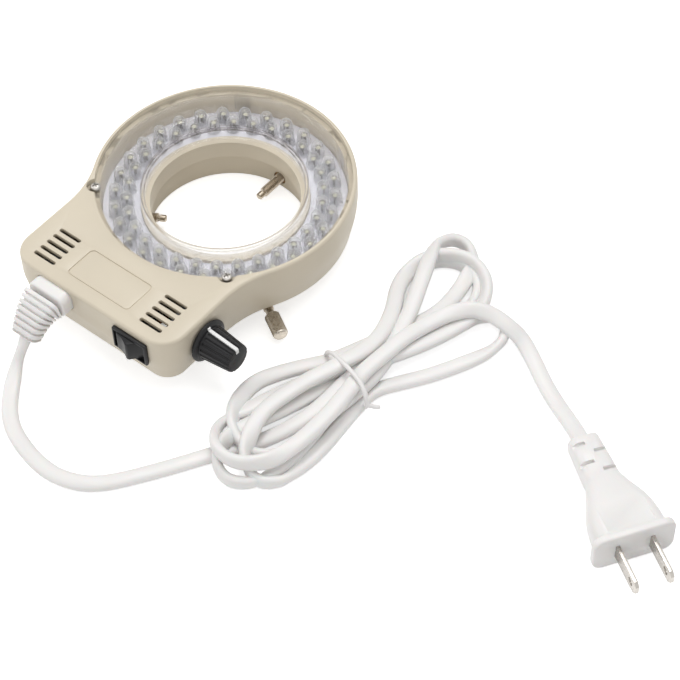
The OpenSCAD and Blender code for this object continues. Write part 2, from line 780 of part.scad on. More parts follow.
// Driver electronics
module driver_board() {
    color("darkgreen") translate([drive_x, drive_y, z_drive]) cube([drive_w, drive_l, board_t]);
}

module board_standoffs() {
    color("silver") for (x = [board_margin, drive_w - board_margin],
        y = [board_margin, drive_l - board_margin])
        translate([drive_x + x, drive_y + y, z_floor])
            cylinder(d = 4, h = z_drive - z_floor, $fn = 32);
}

core = [14, 5, 11];
core_end = 24;
board_margin = 3;
core_at = [drive_x + drive_w - core_end, drive_y + board_margin, z_drive_top];

module transformer_core() {
    color("dimgray") translate(core_at) {
        cube([core[0], core[1], 2.2]);
        translate([0, 0, core[2] - 2.2]) cube([core[0], core[1], 2.2]);
        for (x = [0, core[0] - 2.6]) translate([x, 0, 2.19]) cube([2.6, core[1], core[2] - 4.38]);
        translate([core[0] / 2, core[1] / 2, 2.19]) cylinder(d = 4, h = core[2] - 4.38, $fn = 32);
    }
}

module transformer_coil() {
    color("gold") translate([core_at[0] + core[0] / 2, core_at[1] + core[1] / 2, core_at[2] + 2.2])
        difference() {
            cylinder(d = 8.6, h = core[2] - 4.4, $fn = 48);
            translate([0, 0, -eps]) cylinder(d = 4, h = core[2], $fn = 32);
        }
}

// Each capacitor as [distance from the board's right end, diameter, height]
capacitors = [[12.9, 8, 10], [5.4, 6.3, 9]];
capacitor_inset = 4.4;

module filter_capacitors() {
    color("navy") for (c = capacitors)
        translate([drive_x + drive_w - c[0], drive_y + drive_l - capacitor_inset, z_drive_top])
            cylinder(d = c[1], h = c[2], $fn = 40);
}

rectifier_size = [6, 2.6, 6.5];

module rectifier() {
    color("black") translate([core_at[0] + core[0] + 3, drive_y + 7.6, z_drive_top])
        cube(rectifier_size);
}

fuse_d = 4;
fuse_len = 10;

module fuse() {
    color("white") translate([drive_x + 7.5, drive_y + drive_l - 2.8, z_drive_top + fuse_d / 2])
        rotate([0, 90, 0]) cylinder(d = fuse_d, h = fuse_len, $fn = 32);
}

// Wires as routes of points; each starts and ends straight, just clear of what it is soldered to
wire_d = 1.4;
solder_gap = 0.05;
led_wire_z = z_floor + wire_d;
led_wire_y = -lamp_wall_r + 7;
mains_pad_x = drive_x + 5.2;

module led_wires() {
    y = led_wire_y;
    color("red") for (x = [-1.4, 1.4]) swept([[x, drive_y + drive_l - 2, z_drive_top + wire_d / 2],
        [x, drive_y + drive_l + 1, z_drive_top + wire_d / 2], [x, -ring_in_r - 0.6, led_wire_z],
        [x, y - 4, led_wire_z], [x, y - 0.8, led_wire_z + 1.2], [x, y, z_board_low - 2],
        [x, y, z_board_low - solder_gap]], wire_d, wire_d, 8);
}

module mains_wires() {
    z = z_inlet;
    back = pin_back + solder_gap;
    switch_pin = [switch_x - terminal_x, end_y + switch_depth + terminal_len + solder_gap, z_switch];
    live = -inlet_x + pin_pitch / 2;
    neutral = -inlet_x - pin_pitch / 2;
    pad = [mains_pad_x, back + 2.6, z_drive_top + solder_gap];
    color("saddlebrown") {
        swept([[live, back, z], [live, back + 1.2, z], [live + 3.5, back + 2.4, z + 1.4],
            [live + 9, back + 2.4, z + 2.2], [switch_pin[0] - 6, back + 1.6, z + 2.2],
            [switch_pin[0] - 1, back + 0.8, z + 0.8], [switch_pin[0], switch_pin[1] + 1.3, z_switch],
            switch_pin], wire_d, wire_d, 8);
        swept([[neutral, back, z], [neutral, back + 1.2, z], [neutral, back + 2.4, z - 1.6],
            pad + [0, 0, 4], pad + [0, 0, 2], pad], wire_d, wire_d, 8);
    }
}

module dimmer_wires() {
    z = z_dimmer - pot_d / 2 + 1.9;
    function pad(i) = [drive_x + drive_w - 1.2, -dimmer_y + i * 2.4 - 1, z_drive_top + solder_gap];
    color("orange") for (i = [-1, 0, 1]) swept([
        [pot_x - 3 - solder_gap, -dimmer_y + i * 4, z], [pot_x - 4.2, -dimmer_y + i * 4, z],
        [pot_x - 5.6, -dimmer_y + i * 3, z + 1.2], pad(i) + [2.6, 0, 2.4], pad(i) + [1.3, 0, 3.2],
        pad(i) + [0.2, 0, 2.6], pad(i) + [0, 0, 1.4], pad(i)], wire_d, wire_d, 8);
}

// The mains lead
module lead_connector() {
    color("white") difference() {
        translate([-inlet_x, nose_y, z_inlet]) rotate([90, 0, 0])
            linear_extrude(nose_y - block_y) soft_rect(plugin_w, plugin_h, 3.2);
        for (x = [-1, 1]) translate([-inlet_x + x * pin_pitch / 2, nose_y + eps, z_inlet])
            rotate([90, 0, 0]) cylinder(d = contact_d, h = nose_y - contact_end + eps, $fn = 32);
    }
}

module connector_contacts() {
    color("gold") for (x = [-1, 1]) translate([-inlet_x + x * pin_pitch / 2, nose_y - 0.2, z_inlet])
        rotate([90, 0, 0]) difference() {
            cylinder(d = contact_d, h = nose_y - 0.2 - contact_end, $fn = 32);
            translate([0, 0, -eps]) cylinder(d = pin_d + 2 * run_gap, h = nose_len, $fn = 32);
        }
}

module boot_slab(t, w, h, thick, r) {
    translate(boot_at(t)) rotate([90 + boot_lean(t), 0, 0])
        linear_extrude(thick, center = true) soft_rect(w, h, r, $fn = 20);
}

// Six ribs on a tapering core
module connector_boot() {
    shrink = 0.3;
    color("white") {
        for (i = [0 : boot_steps]) boot_slab(i / boot_steps, plugin_w * (1 - shrink * i / boot_steps),
            plugin_h * (1 - shrink * i / boot_steps), 1.3, 2.4);
        for (i = [0 : boot_steps - 1]) hull() for (k = [i, i + 1])
            boot_slab(k / boot_steps, plugin_w * 0.72 - k * 0.7, plugin_h * 0.62 - k * 0.2, 0.6, 1.6);
        hull() {
            boot_slab(0, plugin_w * 0.72, plugin_h * 0.62, 0.6, 1.6);
            translate([-inlet_x, block_y, z_inlet]) rotate([90, 0, 0])
                linear_extrude(0.2) soft_rect(plugin_w - 1, plugin_h - 1, 2.4, $fn = 20);
        }
    }
}

module cord_feed() {
    color("white") swept(concat([boot_end + [0, -0.3, -0.4]], feed_route), cord_w, cord_t, 12);
}

module tie_band(grow) {
    translate([tie_x, tie_y, hank_h / 2]) rotate([90, 0, tie_lean])
        linear_extrude(tie_w, center = true) difference() {
            soft_rect(tie_len, hank_h + grow, 3);
            soft_rect(tie_len - 2 * tie_t, hank_h - 2 * tie_t, 2);
        }
}

module cord_hank() {
    color("white") difference() {
        linear_extrude(hank_h) offset(r = 3, $fn = 24) offset(delta = -3) polygon(hank_outline);
        tie_band(2);
        for (x = [-1, 1]) translate([tie_x, tie_y, -eps]) rotate([0, 0, tie_lean])
            translate([x * (tie_len / 2 + 3) - 3, -tie_w / 2, 0]) cube([6, tie_w, hank_h + 2 * eps]);
    }
}

module cord_run() {
    plug_rear = [plug_at[0] - plug_len * cos(plug_turn), plug_at[1] - plug_len * sin(plug_turn), z_plug];
    color("white") swept(concat(run_route, [plug_rear]), cord_w, cord_t, 12);
}

module twist_tie() {
    color("white") tie_band(0);
}

// The plug, drawn with its blades along +X
module at_plug() {
    translate([plug_at[0], plug_at[1], z_plug]) rotate([0, 0, plug_turn]) children();
}

module plug_slab(x, w, h, thick, r) {
    translate([x, 0, 0]) rotate([90, 0, 90]) linear_extrude(thick) soft_rect(w, h, r, $fn = 32);
}

module plug_body() {
    rear = -flange_t - 24;
    color("white") at_plug() difference() {
        union() {
            plug_slab(-flange_t, flange_w, flange_h, flange_t, 4);
            for (i = [0 : 2]) hull() for (k = [i, i + 1])
                plug_slab(-flange_t + plug_steps[k][0], plug_steps[k][1], plug_steps[k][2], 0.1, 4);
            hull() {
                plug_slab(rear, relief_w, relief_h, 0.1, 3);
                plug_slab(-plug_len, relief_w - 1, relief_h - 2, 0.1, 3);
            }
        }
        for (i = [0 : 3]) for (s = [-1, 1])
            translate([rear - slot_first - i * slot_pitch, i % 2 == 0 ? 0.8 : -relief_w / 2 - 1,
                s * (relief_h / 2 - 0.4) - 1.6]) cube([1.5, relief_w / 2 + 0.2, 3.2]);
        for (y = [-1, 1]) translate([-8, y * blade_pitch / 2 - blade_t / 2, -blade_w / 2])
            cube([9, blade_t, blade_w]);
    }
}

module plug_blades() {
    hole = 3;
    color("silver") at_plug() for (y = [-1, 1]) translate([0, y * blade_pitch / 2 + blade_t / 2, 0])
        rotate([90, 0, 0]) linear_extrude(blade_t) difference() {
            polygon([[-8, -blade_w / 2], [blade_len - 1.6, -blade_w / 2], [blade_len, -blade_w / 2 + 1.6],
                [blade_len, blade_w / 2 - 1.6], [blade_len - 1.6, blade_w / 2], [-8, blade_w / 2]]);
            translate([blade_len - 4.2, 0]) circle(d = hole, $fn = 32);
        }
}

main_shell();
base_plate();
screw_inserts();
case_screws();
led_board();
outer_leds();
inner_leds();
led_resistors();
clear_cover();
cover_screws();
rear_thumb_screw();
rear_screw_tip();
left_thumb_screw();
left_screw_tip();
right_thumb_screw();
right_screw_tip();
switch_body();
switch_rocker();
switch_terminals();
inlet_socket();
inlet_pins();
dimmer_pot();
dimmer_terminals();
dimmer_nut();
dimmer_shaft();
dimmer_knob();
knob_pointer();
driver_board();
board_standoffs();
transformer_core();
transformer_coil();
filter_capacitors();
rectifier();
fuse();
led_wires();
mains_wires();
dimmer_wires();
lead_connector();
connector_contacts();
connector_boot();
cord_feed();
cord_hank();
cord_run();
twist_tie();
plug_body();
plug_blades();
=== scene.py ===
import math

import bmesh
import bpy
from mathutils import Matrix, Vector


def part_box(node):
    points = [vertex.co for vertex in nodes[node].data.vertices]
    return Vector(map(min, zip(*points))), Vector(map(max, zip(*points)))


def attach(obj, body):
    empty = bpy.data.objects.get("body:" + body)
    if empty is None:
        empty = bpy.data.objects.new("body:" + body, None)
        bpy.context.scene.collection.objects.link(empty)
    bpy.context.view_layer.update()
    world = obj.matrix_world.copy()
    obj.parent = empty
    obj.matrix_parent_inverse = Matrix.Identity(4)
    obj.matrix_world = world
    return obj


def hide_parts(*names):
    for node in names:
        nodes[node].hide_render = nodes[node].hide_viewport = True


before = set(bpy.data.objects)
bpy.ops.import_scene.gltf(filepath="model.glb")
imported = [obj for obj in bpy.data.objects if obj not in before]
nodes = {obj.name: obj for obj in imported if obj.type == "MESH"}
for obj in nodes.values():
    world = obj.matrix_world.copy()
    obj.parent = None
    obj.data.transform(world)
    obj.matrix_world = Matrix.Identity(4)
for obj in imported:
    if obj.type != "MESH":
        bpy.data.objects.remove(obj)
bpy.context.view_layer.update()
MM = 0.001
# Metres within which points are one, and the angle from which an edge counts as a rim
SAME_PLACE = 1e-6
RIM_ANGLE = 1.0


# Camera
PHOTO_SIZE = 680
FOCAL_PIXELS = 2137.16
CAMERA_PLACE = Vector((0.3853, -0.3910, 0.6147))
CAMERA_RIGHT = Vector((0.77984, 0.62562, -0.02129))
CAMERA_UP = Vector((-0.47816, 0.61729, 0.62476))

view = bpy.data.cameras.new("photo_view")
view.sensor_width = 36
view.lens = FOCAL_PIXELS * view.sensor_width / PHOTO_SIZE
view.clip_start = 0.01
camera = bpy.data.objects.new("photo_camera", view)
bpy.context.scene.collection.objects.link(camera)
camera_back = CAMERA_RIGHT.cross(CAMERA_UP)
camera.matrix_world = Matrix.Translation(CAMERA_PLACE) @ Matrix(
    (CAMERA_RIGHT, CAMERA_UP, camera_back)).transposed().to_4x4()
bpy.context.scene.camera = camera
bpy.context.scene.view_settings.view_transform = "Standard"


# Ways of working
def take(piece):
    """Only this piece is selected and active."""
    if bpy.context.object and bpy.context.object.mode != "OBJECT":
        bpy.ops.object.mode_set(mode="OBJECT")
    bpy.ops.object.select_all(action="DESELECT")
    piece.select_set(True)
    bpy.context.view_layer.objects.active = piece


def open_mesh(piece, kind="FACE"):
    """Edit mode with nothing selected."""
    take(piece)
    bpy.ops.object.mode_set(mode="EDIT")
    bpy.ops.mesh.select_mode(type=kind)
    bpy.ops.mesh.select_all(action="DESELECT")


def close_mesh(piece):
    """Back to object mode."""
    bpy.ops.object.mode_set(mode="OBJECT")
    return piece


def pick(piece, kind, wanted):
    """Selects the faces, edges or vertices that pass a test of place or normal."""
    bpy.ops.mesh.select_mode(type=kind)
    shape = bmesh.from_edit_mesh(piece.data)
    parts = {"FACE": shape.faces, "EDGE": shape.edges, "VERT": shape.verts}[kind]
    chosen = [part for part in parts if wanted(part)]
    bpy.ops.mesh.select_all(action="DESELECT")
    for part in chosen:
        part.select_set(True)
    shape.select_flush_mode()
    bmesh.update_edit_mesh(piece.data)


def settle(piece):
    """The piece's place goes into its mesh."""
    take(piece)
    bpy.ops.object.transform_apply(location=True, rotation=True, scale=True)
    return piece


def rename(piece, name):
    piece.name = name
    piece.data.name = name
    return piece


def apply_modifiers(piece):
    take(piece)
    for modifier in list(piece.modifiers):
        bpy.ops.object.modifier_apply(modifier=modifier.name)
    return piece


def ease(piece, width, segments=2, angle=40):
    """Rounds the edges that are sharper than an angle."""
    bevel = piece.modifiers.new("eased_edges", "BEVEL")
    bevel.width = width
    bevel.segments = segments
    bevel.limit_method = "ANGLE"
    bevel.angle_limit = math.radians(angle)
    bevel.use_clamp_overlap = True
    return apply_modifiers(piece)


def carve(piece, tool, operation="DIFFERENCE"):
    """Cuts with a tool, or adds it, and takes the tool away."""
    boolean = piece.modifiers.new("carved", "BOOLEAN")
    boolean.operation = operation
    boolean.solver = "EXACT"
    boolean.object = tool
    apply_modifiers(piece)
    bpy.data.objects.remove(tool)
    return piece


def smooth(piece, angle=35):
    take(piece)
    bpy.ops.object.shade_smooth_by_angle(angle=math.radians(angle))
    return piece


def face_outwards(piece):
    """Turns all faces outwards and ends edit mode."""
    bpy.ops.mesh.select_all(action="SELECT")
    bpy.ops.mesh.normals_make_consistent(inside=False)
    return close_mesh(piece)


def merge_doubles(distance=SAME_PLACE):
    bpy.ops.mesh.select_all(action="SELECT")
    bpy.ops.mesh.remove_doubles(threshold=distance)


def tidy_normals(piece):
    open_mesh(piece)
    merge_doubles()
    return face_outwards(piece)


def join(pieces):
    take(pieces[0])
    for piece in pieces[1:]:
        piece.select_set(True)
    if len(pieces) > 1:
        bpy.ops.object.join()
    return bpy.context.view_layer.objects.active


def at(x, y=0.0, z=0.0):
    """A matrix that moves a piece."""
    return Matrix.Translation((x, y, z))


def spun(degrees, axis="Z"):
    """A matrix that turns a piece."""
    return Matrix.Rotation(math.radians(degrees), 4, axis)


def mm(points):
    """Points given in millimetres."""
    return [tuple(value * MM for value in point) for point in points]


def copy_of(piece, place):
    """A copy with its own mesh, put where a matrix says."""
    twin = piece.copy()
    twin.data = piece.data.copy()
    bpy.context.scene.collection.objects.link(twin)
    twin.data.transform(place)
    return twin


def put(piece, place):
    """Moves a piece's mesh by a matrix."""
    piece.data.transform(place)
    return piece


def dress(piece, name, body, slot, finish, *stands_for):
    """Names a finished piece, gives it its finish and lets it ride on its body."""
    rename(piece, name)
    piece.data.materials.clear()
    piece.data.materials.append(finish)
    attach(piece, body)
    if stands_for:
        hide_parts(*stands_for)


def block(size, centre, edge=0.0, segments=3):
    bpy.ops.mesh.primitive_cube_add(size=1, location=centre)
    piece = bpy.context.object
    piece.scale = size
    settle(piece)
    if edge:
        open_mesh(piece, "EDGE")
        bpy.ops.mesh.select_all(action="SELECT")
        bpy.ops.mesh.bevel(offset=edge, segments=segments, affect="EDGES")
        close_mesh(piece)
    return piece


def rod(radius, low, high, steps=64, place=(0, 0)):
    """An upright cylinder from one height to another."""
    bpy.ops.mesh.primitive_cylinder_add(
        vertices=steps, radius=radius, depth=high - low, location=(*place, (low + high) / 2))
    return settle(bpy.context.object)


def loop_of(points, filled=True):
    """A closed loop of points, in edit mode with all of it selected."""
    fill = "NGON" if filled else "NOTHING"
    bpy.ops.mesh.primitive_circle_add(vertices=len(points), fill_type=fill)
    piece = bpy.context.object
    for vertex, point in zip(piece.data.vertices, points):
        vertex.co = point
    open_mesh(piece, "FACE" if filled else "EDGE")
    bpy.ops.mesh.select_all(action="SELECT")
    return piece


def draw_out(way):
    bpy.ops.mesh.extrude_region_move(TRANSFORM_OT_translate={"value": way})


def plate(outline, low, high):
    """A prism over an outline of points."""
    piece = loop_of([(x, y, low) for x, y in outline])
    draw_out((0, 0, high - low))
    return face_outwards(piece)


def spin_profile(piece, steps, is_seam):
    """Turns a profile about +Z, without those of its edges that are a seam."""
    pick(piece, "EDGE", is_seam)
    bpy.ops.mesh.delete(type="EDGE")
    bpy.ops.mesh.select_all(action="SELECT")
    bpy.ops.mesh.spin(steps=steps, angle=math.tau, center=(0, 0, 0), axis=(0, 0, 1))


def turned(profile, steps=64):
    """A turned piece about +Z. A profile that starts and ends on the axis is a solid one."""
    piece = loop_of([(radius, 0, height) for radius, height in profile], filled=False)
    solid = profile[0][0] == 0 and profile[-1][0] == 0
    spin_profile(piece, steps,
                 lambda edge: solid and max(abs(v.co.x) for v in edge.verts) == 0)
    merge_doubles()
    return face_outwards(piece)


def round_rim(piece, height, width, segments):
    """Rounds the edges of a prism's end that lie at a height."""
    def is_rim(edge):
        level = all(abs(v.co.z - height) < SAME_PLACE for v in edge.verts)
        return level and len(edge.link_faces) == 2 and edge.calc_face_angle(0) > RIM_ANGLE

    open_mesh(piece, "EDGE")
    pick(piece, "EDGE", is_rim)
    bpy.ops.mesh.bevel(offset=width, segments=segments, affect="EDGES")
    return close_mesh(piece)


def arc(centre, radius, first, last, count):
    """Points along an arc, with angles in degrees."""
    angles = [math.radians(first + (last - first) * i / count) for i in range(count + 1)]
    return [(centre[0] + radius * math.cos(a), centre[1] + radius * math.sin(a)) for a in angles]


def soft_rectangle(width, height, radius, count=6):
    w, h = width / 2 - radius, height / 2 - radius
    return (arc((w, h), radius, 0, 90, count) + arc((-w, h), radius, 90, 180, count)
            + arc((-w, -h), radius, 180, 270, count) + arc((w, -h), radius, 270, 360, count))


# Finishes
class Finish:
    """A procedural material on the piece's own coordinates."""

    def __init__(self, name, rough, metal=0.0, **constants):
        self.material = bpy.data.materials.new(name)
        self.material.use_nodes = True
        self.tree = self.material.node_tree
        self.shader = self.tree.nodes["Principled BSDF"]
        self.shader.inputs["Metallic"].default_value = metal
        self.shader.inputs["Roughness"].default_value = rough
        for socket, value in constants.items():
            self.shader.inputs[socket.replace("_", " ")].default_value = value
        self.place = self.add("ShaderNodeTexCoord").outputs["Object"]

    def add(self, kind, **settings):
        node = self.tree.nodes.new(kind)
        for key, value in settings.items():
            setattr(node, key, value)
        return node

    def link(self, source, target):
        self.tree.links.new(source, target)

    def noise(self, scale, detail=3.0, stretch=(1, 1, 1), place=None):
        mapping = self.add("ShaderNodeMapping")
        mapping.inputs["Scale"].default_value = stretch
        self.link(place or self.place, mapping.inputs["Vector"])
        noise = self.add("ShaderNodeTexNoise")
        noise.inputs["Scale"].default_value = scale
        noise.inputs["Detail"].default_value = detail
        self.link(mapping.outputs["Vector"], noise.inputs["Vector"])
        return noise.outputs["Fac"]

    def between(self, amount, low, high, first=0.3, last=0.7):
        """Maps a pattern's amount onto a range of values."""
        ramp = self.add("ShaderNodeMapRange")
        limits = {"From Min": first, "From Max": last, "To Min": low, "To Max": high}
        for socket, value in limits.items():
            ramp.inputs[socket].default_value = value
        self.link(amount, ramp.inputs["Value"])
        return ramp.outputs["Result"]

    def blend(self, amount, dark, light):
        mix = self.add("ShaderNodeMix", data_type="RGBA")
        mix.inputs[6].default_value = (*dark, 1)
        mix.inputs[7].default_value = (*light, 1)
        self.link(amount, mix.inputs[0])
        return mix.outputs[2]

    def tone(self, amount, dark, light):
        mixed = self.blend(self.between(amount, 0, 1), dark, light)
        self.link(mixed, self.shader.inputs["Base Color"])

    def gloss(self, amount, low, high):
        self.link(self.between(amount, low, high), self.shader.inputs["Roughness"])

    def relief(self, amount, height, round_edge=0.0):
        bump = self.add("ShaderNodeBump")
        bump.inputs["Strength"].default_value = 1.0
        bump.inputs["Distance"].default_value = height
        self.link(amount, bump.inputs["Height"])
        if round_edge:
            edge = self.add("ShaderNodeBevel", samples=4)
            edge.inputs["Radius"].default_value = round_edge
            self.link(edge.outputs["Normal"], bump.inputs["Normal"])
        self.link(bump.outputs["Normal"], self.shader.inputs["Normal"])


def shade(colour, share):
    return tuple(min(1.0, part * share) for part in colour)


def moulded(name, colour, rough=0.45, grain=2600, depth=0.00001, spread=0.06, edge=0.0,
            **constants):
    """Moulded plastic: a faint cloud of tone, a fine grain and a slightly uneven gloss."""
    finish = Finish(name, rough, **constants)
    finish.tone(finish.noise(38, 4), shade(colour, 1 - spread), shade(colour, 1 + spread / 2))
    finish.gloss(finish.noise(160, 5), rough - 0.05, rough + 0.07)
    finish.relief(finish.noise(grain, 2), depth, edge)
    return finish.material


def plated(name, colour, rough=0.22, stretch=(1, 1, 1), edge=0.0):
    """Plated metal: fine turning marks and small cloudy stains."""
    finish = Finish(name, rough, metal=1.0)
    finish.tone(finish.noise(300, 4), shade(colour, 0.86), shade(colour, 1.06))
    finish.gloss(finish.noise(900, 4, stretch), rough - 0.08, rough + 0.14)
    finish.relief(finish.noise(4200, 2, stretch), 0.000004, edge)
    return finish.material


BEIGE = (0.655, 0.585, 0.463)
beige_plastic = moulded("beige_plastic", BEIGE, rough=0.42, grain=2400, depth=0.000012, spread=0.03)
# Painted shade: the same beige made 2% darker for the base plate, which lies low in the bore
beige_painted_shade = moulded("beige_painted_shade", shade(BEIGE, 0.98), rough=0.5, edge=0.0003, spread=0.04)
black_plastic = moulded("black_plastic", (0.009, 0.009, 0.010), rough=0.45, spread=0.2,
                        depth=0.00001, Specular_IOR_Level=0.32)
black_gloss = moulded("black_gloss", (0.009, 0.009, 0.010), rough=0.36, spread=0.2, depth=0.000005,
                      Specular_IOR_Level=0.22)
white_vinyl = moulded("white_vinyl", (0.83, 0.815, 0.80), rough=0.4, grain=1500, depth=0.000008,
                      spread=0.03, Subsurface_Weight=0.12, Subsurface_Scale=0.002)
white_paint = moulded("white_paint", (0.85, 0.85, 0.84), rough=0.5, spread=0.04)
white_tie = moulded("white_tie", (0.84, 0.82, 0.81), rough=0.45, grain=3000, spread=0.04)
nickel = plated("nickel", (0.54, 0.51, 0.47), 0.28)
thread_nickel = plated("thread_nickel", (0.50, 0.44, 0.36), 0.3)
screw_nickel = plated("screw_nickel", (0.50, 0.48, 0.45), 0.38)
knurled_nickel = plated("knurled_nickel", (0.56, 0.51, 0.44), 0.3)
# Brass darkened to deep brown: partly the inserts' brass, partly painted shade of the holes they
# sit in
brass_with_painted_shade = plated("brass_with_painted_shade", (0.20, 0.12, 0.05), 0.45)
zinc = plated("zinc", (0.62, 0.62, 0.60), 0.32, edge=0.0002)
brass = plated("brass", (0.68, 0.50, 0.24), 0.28, edge=0.0002)


class ClearFinish(Finish):
    """Clear moulding: see-through face on, and more solid where the surface turns away."""

    def __init__(self, name, colour, rough, index, through, face_on, at_edge):
        super().__init__(name, rough, Transmission_Weight=through, IOR=index)
        self.tint = self.blend(self.between(self.noise(55, 2), 0, 1), shade(colour, 0.985), colour)
        self.gloss(self.noise(420, 3), rough * 0.5, rough * 1.5)
        turn = self.add("ShaderNodeLayerWeight")
        turn.inputs["Blend"].default_value = 0.45
        self.solid = self.between(turn.outputs["Facing"], face_on, at_edge, 0.3, 1.0)
        self.link(self.tint, self.shader.inputs["Base Color"])
        self.link(self.solid, self.shader.inputs["Alpha"])

    def combine(self, operation, first, second):
        sums = self.add("ShaderNodeMath", operation=operation)
        self.link(first, sums.inputs[0])
        self.link(second, sums.inputs[1])
        return sums.outputs[0]

    def painted_reflection_rings(self, lines, above, colour, weight):
        """Thin brown rings by radius and height: a painted reflection of the beige walls in the
        sheet's inner lip.
        """
        parts = self.add("ShaderNodeSeparateXYZ")
        self.link(self.place, parts.inputs[0])
        squares = [self.combine("MULTIPLY", parts.outputs[axis], parts.outputs[axis])
                   for axis in (0, 1)]
        root = self.add("ShaderNodeMath", operation="SQRT")
        self.link(self.combine("ADD", *squares), root.inputs[0])
        soft = 0.00008
        rings = []
        for low, high in lines:
            rise = self.between(root.outputs[0], 0, 1, low - soft, low + soft)
            fall = self.between(root.outputs[0], 1, 0, high - soft, high + soft)
            rings.append(self.combine("MULTIPLY", rise, fall))
        # Painted reflection: above a height the rings darken the colour and make the sheet more
        # solid
        reflection_mask = self.combine("MULTIPLY", self.combine("MAXIMUM", *rings),
                           self.between(parts.outputs[2], 0, weight, above - soft, above + soft))
        mix = self.add("ShaderNodeMix", data_type="RGBA")
        mix.inputs[7].default_value = (*colour, 1)
        self.link(self.tint, mix.inputs[6])
        self.link(reflection_mask, mix.inputs[0])
        self.link(mix.outputs[2], self.shader.inputs["Base Color"])
        self.link(self.combine("MAXIMUM", self.solid, reflection_mask), self.shader.inputs["Alpha"])


clear_sheet_finish = ClearFinish("clear_sheet", (0.985, 0.985, 1.0), 0.012, 1.49, 1.0, 0.1, 0.6)
# Painted reflection of the beige tube: two brown rings on the cover's inner lip
clear_sheet_finish.painted_reflection_rings([(0.0300, 0.0305), (0.0313, 0.03175)], 0.0247, (0.20, 0.15, 0.12), 0.85)
clear_sheet = clear_sheet_finish.material
lamp_clear = ClearFinish("lamp_clear", (0.97, 0.97, 1.0), 0.02, 1.5, 0.45, 0.24, 0.95).material


# Cord
CORD_WIDTH = 6.2 * MM
CORD_THICKNESS = 3.8 * MM
PLUG_TURN = -32.7
PLUG_PLACE = Vector((0.2053, -0.0287, 0.008))
PLUG_LENGTH = 0.046
BOOT_END = Vector((-0.0166, -0.0917, 0.0146))
INTO_BOOT = Vector((0.0003, 0.004, 0.005))
INTO_PLUG = 4 * MM
POINTS_PER_SPAN = 6
SOFTEN_ROUNDS, FOLD_ROUNDS = 5, 60
FOLD_REACH = 4
SMALLEST_FOLD = 8.5 * MM
CORD_STEP = 1.45 * MM
CORD_SIDES = 16
TABLE_GAP = 0.1 * MM
# Bends per metre: up to the first a flat cord lies flat, from the second it stands on edge
FLAT_BEND, EDGE_BEND, BEND_REACH = 28, 70, 7
TWIST_ROUNDS = 24
SIDE_FULLNESS, FACE_FULLNESS = 0.72, 0.86
plug_axis = spun(PLUG_TURN) @ Vector((1, 0, 0))
plug_rear = PLUG_PLACE - plug_axis * PLUG_LENGTH

